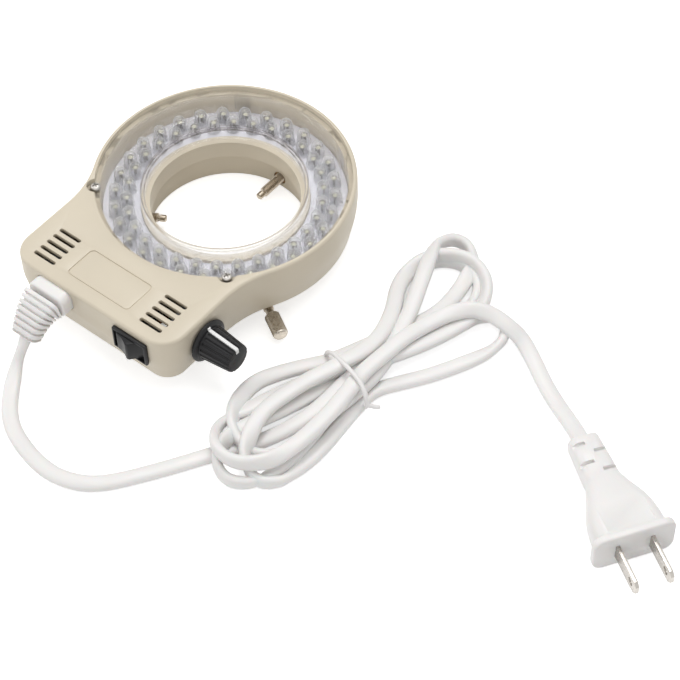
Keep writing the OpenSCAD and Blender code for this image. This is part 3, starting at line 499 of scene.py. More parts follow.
# The stretches of the cord's middle line, from the boot to the plug, in millimetres
ROUTE = {
    "feed": [
        (-17, -95, 9), (-17, -98, 5), (-15, -102, 3), (-11, -108, 2), (-5, -115, 2), (2, -120, 2),
        (10, -123, 2), (19, -125, 2), (28, -125, 2), (37, -122, 2), (44, -116, 2), (50, -108, 2),
        (56, -99, 2), (61, -91, 2), (64, -86, 2)],
    "first_right": [
        (70, -77, 2), (75, -69, 2), (79, -61, 3), (82, -52, 4), (83.5, -43, 5), (84, -35, 6),
        (84, -28, 6), (84, -20, 6), (83.5, -10, 6), (80, -1, 5), (77, 8, 4), (73, 17, 4),
        (71, 26, 3), (73, 34, 3), (79, 38.5, 3), (86, 39, 3), (93, 35, 3), (96.5, 27, 3),
        (95, 18, 3), (92, 10, 2), (90, 2, 2), (88, -7, 2), (86.5, -17, 2), (86.3, -27, 2)],
    "first_left": [
        (86, -37, 2), (86, -48, 2), (86, -58, 2), (85, -66, 2.5), (82, -73, 3), (77, -77, 3),
        (71, -76, 4), (65, -73, 6), (60.5, -67, 6.5), (58, -59, 5.5), (58, -51, 4.5),
        (61, -44, 4), (66, -36, 4), (71, -29, 3.5)],
    "tall_right": [
        (75, -22, 4), (80, -12, 5), (84, -2, 4.5), (88, 8, 4), (90, 18, 4), (89.5, 27, 4),
        (87.8, 36, 4), (85.3, 44.2, 3), (81, 48.7, 3), (75.1, 49, 4.5), (70.7, 44.9, 6),
        (70.5, 38.5, 7.2), (74.5, 28.5, 9), (79, 17, 8.5), (83, 6, 7), (86, -5, 6.5),
        (89, -16, 6), (90, -27, 6)],
    "low_left": [
        (89, -38, 6), (88, -49, 6), (89, -59, 5.5), (89, -67, 4.5), (88, -75, 3.5), (86, -83, 3),
        (81, -89, 3), (75, -91, 3), (69, -89, 4.5), (66.5, -82, 6), (67, -74, 5.5),
        (69.5, -65, 5), (73, -55, 4), (76, -45, 3.5), (78.5, -36, 3)],
    "wide_right": [
        (80, -28, 2), (83, -20, 2), (88, -11, 3), (93, -1, 3), (97, 9, 2.5), (99.5, 17, 3),
        (101.8, 24, 3), (105.6, 27.5, 3), (111, 27.7, 3), (115, 24.3, 3), (116, 18.5, 3),
        (114.8, 11, 3), (112, 4, 3), (108, -4, 3), (103, -12, 2.5), (97, -20, 2), (92.5, -28, 2)],
    "outer_left": [
        (92, -38, 2), (93, -49, 2.5), (94, -60, 3), (93.5, -70, 3), (92.5, -77.5, 3),
        (89.7, -83.8, 3), (84, -86.4, 3.5), (78, -83.2, 4.5), (72.5, -72, 8), (70.5, -62, 9),
        (72, -52, 9), (74, -43, 9), (77, -35, 9.3)],
    "outer_right": [
        (80, -27, 9.8), (82, -17, 9), (81, -7, 8), (77, 4, 7), (72, 13, 6.5), (70, 22, 6),
        (71, 31, 6), (76, 37, 6.5), (83, 40, 7), (90, 39.5, 7), (97, 35, 7), (101, 28, 6.5),
        (102, 20, 6), (100, 11, 6), (97, 2, 6), (93, -7, 6), (88, -16, 6), (82, -23, 6)],
    "top_left": [
        (78, -30, 6), (74, -38, 5.5), (70, -46, 5), (67, -54, 5), (64, -62, 5), (60.5, -70, 4.5),
        (60.5, -76, 5.5), (64, -82, 8), (69, -85.5, 9.8), (75, -86.5, 10), (81, -84, 10),
        (86.5, -78, 10), (89, -69, 10), (90, -59, 10), (90, -48, 10), (89, -37, 10)],
    "top_strand": [
        (88, -27, 9.8), (89, -16, 9.8), (90, -6, 9.8), (92, 3, 9), (95.5, 12, 9.5), (101, 19, 10),
        (108, 22.5, 9)],
    "run": [
        (116, 23, 7), (122, 23, 4), (130, 19, 2), (139, 13, 2), (148, 8, 2), (157, 3, 4)],
}


def curved(points, per_span):
    """A smooth line through points."""
    line = []
    for i in range(len(points) - 1):
        a, b = points[max(i - 1, 0)], points[i]
        c, d = points[i + 1], points[min(i + 2, len(points) - 1)]
        for k in range(per_span):
            t = k / per_span
            line.append(0.5 * ((2 * b) + (c - a) * t + (2 * a - 5 * b + 4 * c - d) * t * t
                               + (3 * b - a - 3 * c + d) * t ** 3))
    line.append(points[-1])
    return line


def softened(line, rounds):
    """Takes small kinks out of a line and keeps its ends."""
    for _ in range(rounds):
        inner = [(line[i - 1] + line[i] * 2 + line[i + 1]) / 4 for i in range(1, len(line) - 1)]
        line = [line[0]] + inner + [line[-1]]
    return line


def neighbours(line, i, reach):
    """The points some steps before and after a point of a line."""
    return line[max(i - reach, 0)], line[min(i + reach, len(line) - 1)]


def heading(line, i):
    before, after = neighbours(line, i, 1)
    return (after - before).normalized()


def fold_radius(line, i):
    """The radius of the circle through a point and its neighbours on both sides."""
    b, (a, c) = line[i], neighbours(line, i, FOLD_REACH)
    across = (b - a).cross(c - a).length
    return (b - a).length * (c - b).length * (c - a).length / (2 * across + 1e-12)


def eased_folds(line, smallest, rounds, fixed=8):
    """Opens the folds that are tighter than a radius, and leaves the rest where it lies."""
    for _ in range(rounds):
        tight = [fixed <= i < len(line) - fixed and fold_radius(line, i) < smallest
                 for i in range(len(line))]
        near = [any(tight[max(i - 5, 0):i + 6]) for i in range(len(line))]
        line = [line[0]] + [line[i].lerp((line[i - 1] + line[i + 1]) / 2, 0.5 if near[i] else 0.0)
                            for i in range(1, len(line) - 1)] + [line[-1]]
    return line


def evenly(line, step):
    """The same line with its points an even step apart."""
    lengths = [0.0]
    for a, b in zip(line, line[1:]):
        lengths.append(lengths[-1] + (b - a).length)
    count = round(lengths[-1] / step)
    spaced, k = [], 0
    for i in range(count + 1):
        wanted = lengths[-1] * i / count
        while k < len(line) - 2 and lengths[k + 1] < wanted:
            k += 1
        span = lengths[k + 1] - lengths[k]
        spaced.append(line[k].lerp(line[k + 1], min(1.0, (wanted - lengths[k]) / span)))
    return spaced


def edge_share(line, i):
    """How far a flat cord turns on edge: fully in a tight bend, not at all on a straight."""
    b, (a, c) = line[i], neighbours(line, i, BEND_REACH)
    before, after = (b - a).to_2d(), (c - b).to_2d()
    if min(before.length, after.length) < SAME_PLACE:
        return 0.0
    bend = abs(before.angle_signed(after)) / ((before.length + after.length) / 2)
    amount = min(1.0, max(0.0, (bend - FLAT_BEND) / (EDGE_BEND - FLAT_BEND)))
    return amount * amount * (3 - 2 * amount)


def section_point(angle):
    """A point of the cord's rounded flat cross-section: across it and up."""
    c, s = math.cos(angle), math.sin(angle)
    return (math.copysign(abs(c) ** SIDE_FULLNESS, c) * CORD_WIDTH / 2,
            math.copysign(abs(s) ** FACE_FULLNESS, s) * CORD_THICKNESS / 2)


SECTION = [section_point(math.tau * k / CORD_SIDES) for k in range(CORD_SIDES)]


def half_height(roll):
    """How far the cross-section reaches down when it is rolled."""
    return max(across * math.sin(roll) + up * math.cos(roll) for across, up in SECTION)


def flat_tube(line, rolls):
    """A flat cord along a line, with a UV map that runs along it and round it."""
    bpy.ops.mesh.primitive_plane_add()
    piece = bpy.context.object
    sides = CORD_SIDES
    rings, lengths, run = [], [], 0.0
    for i, point in enumerate(line):
        ahead = heading(line, i)
        level = ahead.cross(Vector((0, 0, 1))).normalized()
        upright = level.cross(ahead)
        turn = Matrix.Rotation(rolls[i], 3, ahead)
        level, upright = turn @ level, turn @ upright
        if i:
            run += (point - line[i - 1]).length
        lengths.append(run)
        rings.append([point + level * across + upright * up for across, up in SECTION])
    vertices = [p for ring in rings for p in ring]
    faces = [(i * sides + k, i * sides + (k + 1) % sides, (i + 1) * sides + (k + 1) % sides,
              (i + 1) * sides + k) for i in range(len(rings) - 1) for k in range(sides)]
    faces.append(tuple(range(sides - 1, -1, -1)))
    faces.append(tuple((len(rings) - 1) * sides + k for k in range(sides)))
    mesh = bpy.data.meshes.new("cord")
    mesh.from_pydata([tuple(p) for p in vertices], [], faces)
    chart = mesh.uv_layers.new(name="along")
    for face in mesh.polygons:
        for corner in face.loop_indices:
            index = mesh.loops[corner].vertex_index
            chart.data[corner].uv = (lengths[index // sides], index % sides / sides)
    piece.data = mesh
    tidy_normals(piece)
    return smooth(piece, 50)


route = [BOOT_END + INTO_BOOT, BOOT_END]
route += [Vector(point) for stretch in ROUTE.values() for point in mm(stretch)]
route += [plug_rear, plug_rear + plug_axis * INTO_PLUG]
cord_line = softened(curved(route, POINTS_PER_SPAN), SOFTEN_ROUNDS)
cord_line = evenly(eased_folds(cord_line, SMALLEST_FOLD, FOLD_ROUNDS), CORD_STEP)
edge_shares = [edge_share(cord_line, i) for i in range(len(cord_line))]
for _ in range(TWIST_ROUNDS):
    around = [edge_shares[max(i - 1, 0):i + 2] for i in range(len(edge_shares))]
    edge_shares = [sum(shares) / len(shares) for shares in around]
rolls = [share * math.pi / 2 for share in edge_shares]
for point, roll in zip(cord_line, rolls):
    point.z = max(point.z, half_height(roll) + TABLE_GAP)

cord = flat_tube(cord_line, rolls)
dress(cord, "mains_cord", "lead", "white_vinyl", white_vinyl, "cord_feed", "cord_hank", "cord_run")


# Floor, light and background
FLOOR_LIFT = 0.62
SKY_FILL = 0.42


def seen_rays(tree):
    """1 for the rays of the camera, mirrors and glass, and 0 for light that falls on things."""
    rays = tree.nodes.new("ShaderNodeLightPath")
    seen = rays.outputs["Is Camera Ray"]
    for kind in ("Is Glossy Ray", "Is Transmission Ray"):
        either = tree.nodes.new("ShaderNodeMath")
        either.operation = "MAXIMUM"
        tree.links.new(seen, either.inputs[0])
        tree.links.new(rays.outputs[kind], either.inputs[1])
        seen = either.outputs[0]
    return seen


def stage_material(name, colour, lift):
    """A pale surface that the camera, mirrors and glass see lighter, and that keeps its shadows."""
    finish = Finish(name, 0.8)
    finish.tone(finish.noise(6, 2), shade(colour, 0.99), colour)
    amount = finish.between(seen_rays(finish.tree), 0, lift, 0, 1)
    finish.shader.inputs["Emission Color"].default_value = (1, 1, 1, 1)
    finish.link(amount, finish.shader.inputs["Emission Strength"])
    return finish.material


bpy.ops.mesh.primitive_plane_add(size=6, location=(0, 0, -0.0002))
floor = rename(settle(bpy.context.object), "floor")
floor.data.materials.append(stage_material("floor_white", (0.82, 0.82, 0.82), FLOOR_LIFT))

world = bpy.data.worlds.new("studio")
bpy.context.scene.world = world
world.use_nodes = True
sky = world.node_tree
sky_strength = sky.nodes.new("ShaderNodeMapRange")
sky_strength.inputs["To Min"].default_value = SKY_FILL
sky_strength.inputs["To Max"].default_value = 1.0
sky.links.new(seen_rays(sky), sky_strength.inputs["Value"])
sky.nodes["Background"].inputs["Color"].default_value = (1, 1, 1, 1)
sky.links.new(sky_strength.outputs["Result"], sky.nodes["Background"].inputs["Strength"])


def soft_light(name, place, target, size, watts):
    lamp = bpy.data.lights.new(name, "AREA")
    lamp.shape = "RECTANGLE"
    lamp.size, lamp.size_y = size
    lamp.energy = watts
    holder = bpy.data.objects.new(name, lamp)
    bpy.context.scene.collection.objects.link(holder)
    holder.location = place
    aim = Vector(target) - Vector(place)
    holder.rotation_euler = aim.to_track_quat("-Z", "Y").to_euler()


soft_light("top_softbox", (0.05, 0.25, 1.3), (0.05, -0.02, 0), (1.2, 1.0), 7.2)
soft_light("key_softbox", (-0.25, 0.45, 1.25), (0.02, 0, 0.02), (0.3, 0.22), 2.8)
soft_light("left_softbox", (-1.1, -0.45, 0.8), (0.03, -0.03, 0.02), (0.9, 0.9), 4.0)
soft_light("front_softbox", (0.5, -1.2, 0.7), (0.05, -0.03, 0.02), (1.0, 0.7), 3.3)


# Housing
RING_R = 50 * MM
HALF_WIDTH = 38.5 * MM
REACH = 75.7 * MM
CORNER_R = 10 * MM
NECK_R = 40 * MM
BOX_WALL = 2.2 * MM
LIP = 3.2 * MM
LAMP_WALL_R = 46.6 * MM
RING_INNER_R = 49.4 * MM
REBATE_R = 48.4 * MM
FLOOR_TOP = 10.5 * MM
ROOM_STEP = 14.2 * MM
ROOF = 28.8 * MM
REBATE_Z = 27.8 * MM
shell_low, shell_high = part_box("main_shell")
TOP = shell_high.z
BOTTOM = shell_low.z
NECK_Y = -math.sqrt((RING_R + NECK_R) ** 2 - (HALF_WIDTH + NECK_R) ** 2)
NECK_TURN = math.degrees(math.atan2(-NECK_Y, HALF_WIDTH + NECK_R))
COVER_SCREW_R = REBATE_R - 0.4 * MM
COVER_SCREW_AT = (-138, -48)
EAR_R = 3.2 * MM
HOOK_AT = (58, 122)
VENT_X = 25.8 * MM
VENT_LAST_Y = -REACH + 6.1 * MM
VENT_PITCH = 3.36 * MM
INLET_X = -16 * MM
INLET_Z = 23.7 * MM
SWITCH_X = 21.3 * MM
SWITCH_Z = 22.3 * MM
DIMMER_Y = -56 * MM
DIMMER_Z = 19 * MM
OVER = 1 * MM
VENTS = 5
VENT_L, VENT_W = 10.3 * MM, 1.65 * MM
PANEL_W, PANEL_H, PANEL_R = 29.8 * MM, 14.2 * MM, 2 * MM
PANEL_GROOVE = 0.45 * MM
TOP_ROUND = 1.2 * MM
EAR_GAP = 0.15 * MM
# The openings in the box's walls: the inlet's with its corner radius, and the shaft's radius
INLET_HOLE = (17.5 * MM, 10 * MM, 3.3 * MM)
SWITCH_HOLE_W, SWITCH_HOLE_H = 14.8 * MM, 9.5 * MM
SHAFT_HOLE_R = 3.65 * MM
# How far the walls stand in, and at what height over the bottom, in millimetres
DRAFT = [(2.6, 0), (2.3, 0.4), (2.0, 2.0), (1.4, 4.5), (0.7, 7.5), (0.2, 10.5), (0, 13)]


def housing_outline(inset):
    """The housing from above, drawn in by an inset."""
    neck = NECK_R + inset
    reach = HALF_WIDTH + NECK_R
    corner = CORNER_R - inset
    corner_y = -REACH + CORNER_R
    corner_x = HALF_WIDTH - CORNER_R
    return (arc((0, 0), RING_R - inset, -NECK_TURN, 180 + NECK_TURN, 150)
            + arc((-reach, NECK_Y), neck, NECK_TURN, 0, 16)[1:]
            + arc((-corner_x, corner_y), corner, 180, 270, 12)
            + arc((corner_x, corner_y), corner, 270, 360, 12)
            + arc((reach, NECK_Y), neck, 180, 180 - NECK_TURN, 16)[:-1])


def round_slot(length, width, low, high, place):
    outline = (arc((length / 2 - width / 2, 0), width / 2, -90, 90, 8)
               + arc((width / 2 - length / 2, 0), width / 2, 90, 270, 8))
    return put(plate(outline, low, high), at(*place))


def add_ears(piece, radius, low, high):
    """Adds an upright disc at each of the cover's screws."""
    for angle in COVER_SCREW_AT:
        ear = put(rod(radius, low, high, 32), spun(angle) @ at(COVER_SCREW_R))
        carve(piece, ear, "UNION")
    return piece


def drafted_walls(sections):
    """The housing's walls raised from outline to outline, each a little wider than the last."""
    outline = housing_outline(sections[0][0])
    piece = loop_of([(x, y, sections[0][1]) for x, y in outline])
    for (_, low), (inset, high) in zip(sections, sections[1:]):
        draw_out((0, 0, high - low))
        wider = housing_outline(inset)
        places = {(round(x * 1e7), round(y * 1e7)): i for i, (x, y) in enumerate(outline)}
        raised = [(v, places.get((round(v.co.x * 1e7), round(v.co.y * 1e7)))) for v in
                  bmesh.from_edit_mesh(piece.data).verts if v.select]
        for vertex, index in raised:
            if index is None:
                index = min(range(len(outline)), key=lambda i: math.dist(vertex.co.xy, outline[i]))
            vertex.co.x, vertex.co.y = wider[index]
        bmesh.update_edit_mesh(piece.data)
        outline = wider
    return face_outwards(piece)


shell = drafted_walls([(inset * MM, BOTTOM + rise * MM) for inset, rise in DRAFT] + [(0, TOP)])
round_rim(shell, TOP, TOP_ROUND, 5)
carve(shell, plate(housing_outline(LIP), BOTTOM - OVER, FLOOR_TOP))
carve(shell, rod(LAMP_WALL_R, FLOOR_TOP - 0.1 * MM, TOP + 2 * MM, 180))
rebate = rod(REBATE_R, REBATE_Z, TOP + OVER, 180)
carve(shell, add_ears(rebate, EAR_R + EAR_GAP, REBATE_Z, TOP + OVER))
# The box's room is narrower below a step, and neither part reaches into the ring
room = plate(housing_outline(BOX_WALL), ROOM_STEP, ROOF)
lower_room = plate(housing_outline(LIP + 0.05 * MM), FLOOR_TOP - 0.2 * MM, ROOM_STEP + 0.1 * MM)
carve(lower_room, block(*mm([(100, 100, 20), (0, 14, 12)])))
carve(room, lower_room, "UNION")
carve(room, rod(RING_INNER_R, 0, TOP + 2 * MM, 160))
carve(shell, room)
for side in (-1, 1):
    for i in range(VENTS):
        vent_at = (side * VENT_X, VENT_LAST_Y + i * VENT_PITCH)
        carve(shell, round_slot(VENT_L, VENT_W, ROOF - OVER, TOP + OVER, vent_at))
panel = plate(soft_rectangle(PANEL_W, PANEL_H, PANEL_R), TOP - 0.4 * MM, TOP + OVER)
middle = soft_rectangle(PANEL_W - 2 * PANEL_GROOVE, PANEL_H - 2 * PANEL_GROOVE, 1.6 * MM)
carve(panel, plate(middle, TOP - 1 * MM, TOP - 0.15 * MM))
carve(shell, put(panel, at(0, VENT_LAST_Y + 2 * VENT_PITCH)))
END_WALL = spun(90, "X")
inlet_hole = plate(soft_rectangle(*INLET_HOLE), -3 * MM, 3 * MM)
carve(shell, put(inlet_hole, at(INLET_X, -REACH, INLET_Z) @ END_WALL))
carve(shell, block((SWITCH_HOLE_W, 6 * MM, SWITCH_HOLE_H), (SWITCH_X, -REACH, SWITCH_Z)))
SIDE_WALL = spun(90, "Y")
shaft_hole = rod(SHAFT_HOLE_R, -4 * MM, 4 * MM, 40)
carve(shell, put(shaft_hole, at(HALF_WIDTH, DIMMER_Y, DIMMER_Z) @ SIDE_WALL))
open_mesh(shell)
merge_doubles(1e-5)
bpy.ops.mesh.dissolve_limited(angle_limit=math.radians(0.5))
close_mesh(shell)
ease(shell, 0.25 * MM, 2, 50)
smooth(shell, 40)
dress(shell, "housing_shell", "housing", "beige_plastic", beige_plastic, "main_shell")


# Clear cover
COVER_T = 1.2 * MM
HOOK_R = 45.3 * MM
HOOK_FOOT = 20.3 * MM
HOOK_TOP = 28.4 * MM
HOOK_HALF_WIDTH = 3 * MM
HOOK_CORNER = 1.6 * MM

cover_profile = [
    (31.4, 19.8), (31.4, 24.7), (31.65, 25.1), (36.2, 26.95), (37.2, 27.2), (44.0, 27.75),
    (44.7, 27.8), (48.3, 27.8), (48.3, 28.85), (48.15, 29.0), (44.5, 29.0), (43.8, 28.95),
    (37.2, 28.4), (35.9, 28.1), (31.0, 25.9), (30.4, 25.5), (30.2, 25.1), (30.2, 19.8)]
cover = add_ears(turned(mm(cover_profile), 160), EAR_R, REBATE_Z, REBATE_Z + COVER_T)
for angle in HOOK_AT:
    inner, foot = HOOK_HALF_WIDTH - HOOK_CORNER, HOOK_FOOT + HOOK_CORNER
    outline = ([(-HOOK_HALF_WIDTH, HOOK_TOP), (HOOK_HALF_WIDTH, HOOK_TOP)]
               + arc((inner, foot), HOOK_CORNER, 0, -90, 5)
               + arc((-inner, foot), HOOK_CORNER, -90, -180, 5))
    hook = put(plate(outline, 0, 1 * MM), spun(90, "X"))
    put(hook, at(HOOK_R) @ spun(90))
    carve(cover, put(hook, spun(angle)), "UNION")
tidy_normals(cover)
smooth(cover, 30)
dress(cover, "lens_cover", "housing", "clear_plastic", clear_sheet, "clear_cover")


# Lamps
BOARD_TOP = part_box("led_board")[1].z
LAMP_HEIGHT = 6.8 * MM
LAMP_R = 2.5 * MM
FLANGE_R = 2.85 * MM
CUP_X = -0.3 * MM
ROW_COUNT = 30
UNEVEN_TURN = 14
# Each row's name, its radius, its offset in steps and the seed of its lamps' turns
ROWS = (("outer", 41.5 * MM, 0.5, 0.4), ("inner", 37.1 * MM, 0, 2.1))

dome = arc((0, LAMP_HEIGHT - LAMP_R), LAMP_R, 0, 75, 5)
lamp = turned([(0, 0), (FLANGE_R - 0.1 * MM, 0), (FLANGE_R, 0.1 * MM), (FLANGE_R, 0.9 * MM),
               (FLANGE_R - 0.1 * MM, 1 * MM), (LAMP_R, 1.05 * MM)] + dome + [(0, LAMP_HEIGHT)], 20)
smooth(lamp, 40)


def lamp_frame():
    """The leads inside a lamp: the cup's post and the slim post beside it."""
    post = block(*mm([(1.1, 0.5, 2.6), (-0.55, 0, 2.3)]), 0.1 * MM, 1)
    cup = turned(mm([(0, 3.3), (0.8, 3.3), (1.4, 4.3), (1.2, 4.3), (0.8, 3.8), (0, 3.8)]), 14)
    put(cup, at(CUP_X))
    slim = block(*mm([(0.5, 0.5, 3.0), (1.0, 0, 2.5)]), 0.1 * MM, 1)
    foot = block(*mm([(0.5, 0.5, 1.2), (-0.9, 0, 0.6)]), 0.05 * MM, 1)
    return smooth(join([post, cup, slim, foot]), 40)


def lamp_die():
    """The yellow drop that fills the cup."""
    drop = turned(mm([(0, 3.85), (0.85, 3.95), (0.6, 4.1), (0, 4.15)]), 14)
    return smooth(put(drop, at(CUP_X)), 60)


frame_model = lamp_frame()
die_model = lamp_die()
frame_metal = plated("lamp_frame_metal", (0.30, 0.29, 0.27), 0.25)
phosphor = moulded("phosphor", (0.62, 0.60, 0.46), rough=0.5, spread=0.1)


def row_of(model, radius, offset, seed):
    """Copies of a model round the ring, each turned a little differently."""
    copies = []
    for i in range(ROW_COUNT):
        around = spun(360 * (i + offset) / ROW_COUNT - 90)
        own_turn = spun(90 + UNEVEN_TURN * math.sin(7.3 * i + seed))
        copies.append(copy_of(model, around @ at(radius, 0, BOARD_TOP) @ own_turn))
    return join(copies)


for row, radius, offset, seed in ROWS:
    lamps = row_of(lamp, radius, offset, seed)
    dress(lamps, row + "_lamps", "housing", "lamp_clear", lamp_clear, row + "_leds")
    leads = row_of(frame_model, radius, offset, seed)
    dress(leads, row + "_lamp_leads", "housing", "zinc_steel", frame_metal)
    drops = row_of(die_model, radius, offset, seed)
    dress(drops, row + "_lamp_dies", "housing", "coil_tape", phosphor)
for model in (lamp, frame_model, die_model):
    bpy.data.objects.remove(model)


# Cross-head screws
PAN_D, PAN_HEIGHT, CROSS_L = 3.9 * MM, 1.5 * MM, 2.4 * MM


def cross_head():
    """A pan head with its recess, its seat at height 0."""
    shares = [(0, 0), (1, 0), (1, 0.35), (0.93, 0.62), (0.72, 0.86), (0.4, 0.97), (0, 1)]
    head = turned([(r * PAN_D / 2, z * PAN_HEIGHT) for r, z in shares], 40)
    for angle in (20, 110):
        arm = block((CROSS_L, CROSS_L * 0.28, PAN_HEIGHT), (0, 0, PAN_HEIGHT * 0.85))
        carve(head, put(arm, spun(angle)))
    ease(head, 0.05 * MM, 1, 50)
    return smooth(head, 35)


heads = []
for angle in COVER_SCREW_AT:
    shank = rod(1.2 * MM, -7 * MM, 0.1 * MM, 20)
    way = spun(angle) @ at(COVER_SCREW_R, 0, REBATE_Z + COVER_T)
    heads.append(put(join([cross_head(), shank]), way))
dress(join(heads), "cover_screw_heads", "housing", "nickel", screw_nickel, "cover_screws")


# Thumb screws
THREAD_D = 3.9 * MM
PITCH = 0.7 * MM
THREAD_START = 2.8 * MM
THREAD_END = 16 * MM
HEAD_START = 18 * MM
HEAD_LENGTH = 11 * MM
HEAD_D = 5.8 * MM
SCREW_Z = 4.1 * MM
TEETH = 30
# Each screw's place round the collar and how far its tip is from the middle
SCREWS = {"rear": (90, 18 * MM), "left": (210, 24 * MM), "right": (330, 30 * MM)}


def threaded_rod(start, end, steps=24):
    """A rod with a helical thread: a turned zigzag whose seam is one pitch apart."""
    outer = THREAD_D / 2
    profile = []
    for i in range(int((end - start) / PITCH)):
        base = start + i * PITCH
        profile += [(outer - PITCH * 0.55, base + PITCH * 0.1), (outer, base + PITCH * 0.45),
                    (outer, base + PITCH * 0.6)]
    piece = loop_of([(radius, 0, height) for radius, height in profile], filled=False)
    ends = {0, len(profile) - 1}
    spin_profile(piece, steps, lambda edge: {v.index for v in edge.verts} == ends)
    shape = bmesh.from_edit_mesh(piece.data)
    shape.verts.ensure_lookup_table()
    for index, vertex in enumerate(shape.verts):
        vertex.co.z += PITCH * (index // len(profile)) / steps
    bmesh.update_edit_mesh(piece.data)
    merge_doubles()
    bpy.ops.mesh.fill_holes(sides=0)
    return smooth(face_outwards(piece), 25)


def knurled_head():
    """A round head with straight knurling, eased at both ends, and a shallow dome."""
    bpy.ops.mesh.primitive_cylinder_add(
        vertices=2 * TEETH, radius=HEAD_D / 2, depth=HEAD_LENGTH - 1.6 * MM,
        location=(0, 0, HEAD_START + HEAD_LENGTH / 2))
    grip = settle(bpy.context.object)
    open_mesh(grip, "VERT")
    pick(grip, "VERT", lambda v: round(math.atan2(v.co.y, v.co.x) / math.tau * 2 * TEETH) % 2 == 1)
    bpy.ops.transform.resize(value=(0.9, 0.9, 1), center_override=(0, 0, 0))
    close_mesh(grip)
    low, high = HEAD_START, HEAD_START + HEAD_LENGTH
    flank, eased = 2.72 * MM, 0.85 * MM
    core = turned([(0, low), (1.7 * MM, low), (2.2 * MM, low + 0.3 * MM), (flank, low + eased),
                   (flank, high - eased), (2.5 * MM, high - 0.4 * MM),
                   (2.0 * MM, high - 0.12 * MM), (1.0 * MM, high), (0, high)], 40)
    return smooth(join([grip, core]), 20)


for side, (angle, tip_radius) in SCREWS.items():
    way = spun(angle) @ at(tip_radius, 0, SCREW_Z) @ SIDE_WALL
    thread = threaded_rod(THREAD_START, THREAD_END)
    neck = rod(1.6 * MM, THREAD_END - 1.2 * MM, HEAD_START + 0.2 * MM, 24)
    dress(put(join([thread, neck]), way), side + "_screw_thread", side + "_screw",
          "nickel", thread_nickel, side + "_thumb_screw")
    dress(put(knurled_head(), way), side + "_screw_head", side + "_screw", "nickel", knurled_nickel)
    point = turned(mm([(0, 0), (0.9, 0), (1.4, 0.4), (1.4, 2.5), (0.7, 2.6), (0.7, 5.4), (0, 5.4)]),
                   24)
    dress(put(smooth(point), way), side + "_screw_point", side + "_tip", "nickel", thread_nickel,
          side + "_screw_tip")


# Switch
SWITCH_W = 16 * MM
SWITCH_H = 10.5 * MM
WINDOW_W = 14.2 * MM
WINDOW_H = 8.8 * MM
BEZEL = 1.6 * MM
BODY_SIZE = (14.7 * MM, 10.5 * MM, 9.4 * MM)
PIVOT_Y = -74.2 * MM
ROCKER_TILT = 11
ROCKER_GAP = 0.15 * MM

bezel = block((SWITCH_W, BEZEL, SWITCH_H), (SWITCH_X, -REACH - BEZEL / 2, SWITCH_Z), 0.5 * MM, 3)
carve(bezel, block(BODY_SIZE, (SWITCH_X, -REACH + 5.2 * MM, SWITCH_Z), 0.3 * MM, 1), "UNION")
carve(bezel, block((WINDOW_W, 4 * MM, WINDOW_H), (SWITCH_X, -REACH - 0.5 * MM, SWITCH_Z)))
# The round hollow that the rocker turns in
pocket = rod(WINDOW_W / 2 - 0.15 * MM, SWITCH_Z - WINDOW_H / 2 + 0.05 * MM,
             SWITCH_Z + WINDOW_H / 2 - 0.05 * MM, 48, (SWITCH_X, PIVOT_Y))
carve(bezel, pocket)
dress(smooth(bezel, 35), "switch_frame", "housing", "black_matte", black_plastic, "switch_body")


def rocker_face(x):
    """How far the rocker's hollow face stands out at a distance from its middle, in millimetres."""
    share = (abs(x) - 0.5) / 5.2
    return 5.5 - 2.9 * share - 0.55 * math.sin(math.pi * share)


half = [(-6.2, 2.0), (-6.2, -2.0), (-5.8, -2.55)]
half += [(x, -rocker_face(x)) for x in (-4.6, -3.5, -2.4, -1.4, -0.5)]
rocker_outline = mm(half + [(-x, y) for x, y in reversed(half)])
rocker = plate(rocker_outline, -WINDOW_H / 2 + ROCKER_GAP, WINDOW_H / 2 - ROCKER_GAP)
ease(rocker, 0.3 * MM, 3, 30)
put(rocker, at(SWITCH_X, PIVOT_Y, SWITCH_Z) @ spun(ROCKER_TILT))
dress(smooth(rocker, 30), "rocker_cap", "rocker", "black_gloss", black_gloss, "switch_rocker")


# Dimmer knob
KNOB_BASE = 39.1 * MM
GRIP_START = 1.0 * MM
GRIP_END = 14.7 * MM
GRIP_BASE_R = 6.8 * MM
GRIP_END_R = 5.4 * MM
KNOB_RIBS = 18
GROOVE_R = 0.62 * MM
GROOVE_START = 2.6 * MM
SKIRT_TOP = 1.9 * MM
LINE_WIDTH = 1.3 * MM
SLOPE = (GRIP_BASE_R - GRIP_END_R) / (GRIP_END - GRIP_START)
LEAN = spun(math.degrees(math.atan(SLOPE)), "Y")
KNOB_WAY = at(KNOB_BASE, DIMMER_Y, DIMMER_Z) @ SIDE_WALL


def knob_body():
    """A skirted knob with fine ribs on its tapering grip and a flat end with an eased edge."""
    skirt = turned(mm([(5.2, 0), (8.1, 0), (8.5, 0.4), (8.5, 1.0), (8.1, 1.5), (7.1, 1.9),
                       (5.2, 1.9)]), 64)
    bpy.ops.mesh.primitive_cone_add(
        vertices=128, radius1=GRIP_BASE_R, radius2=GRIP_END_R, depth=GRIP_END - GRIP_START,
        location=(0, 0, (GRIP_START + GRIP_END) / 2))
    grip = round_rim(settle(bpy.context.object), GRIP_END, 0.5 * MM, 2)
    for i in range(KNOB_RIBS):
        groove = rod(GROOVE_R, GROOVE_START, GRIP_END + OVER, 12)
        around = spun(360 * (i + 0.5) / KNOB_RIBS)
        carve(grip, put(groove, around @ at(GRIP_BASE_R + 0.2 * MM) @ LEAN.inverted()))
    ease(grip, 0.12 * MM, 1, 35)
    carve(grip, rod(3 * MM, -1 * MM, GRIP_END - 3 * MM, 40))
    return smooth(join([skirt, grip]), 30)


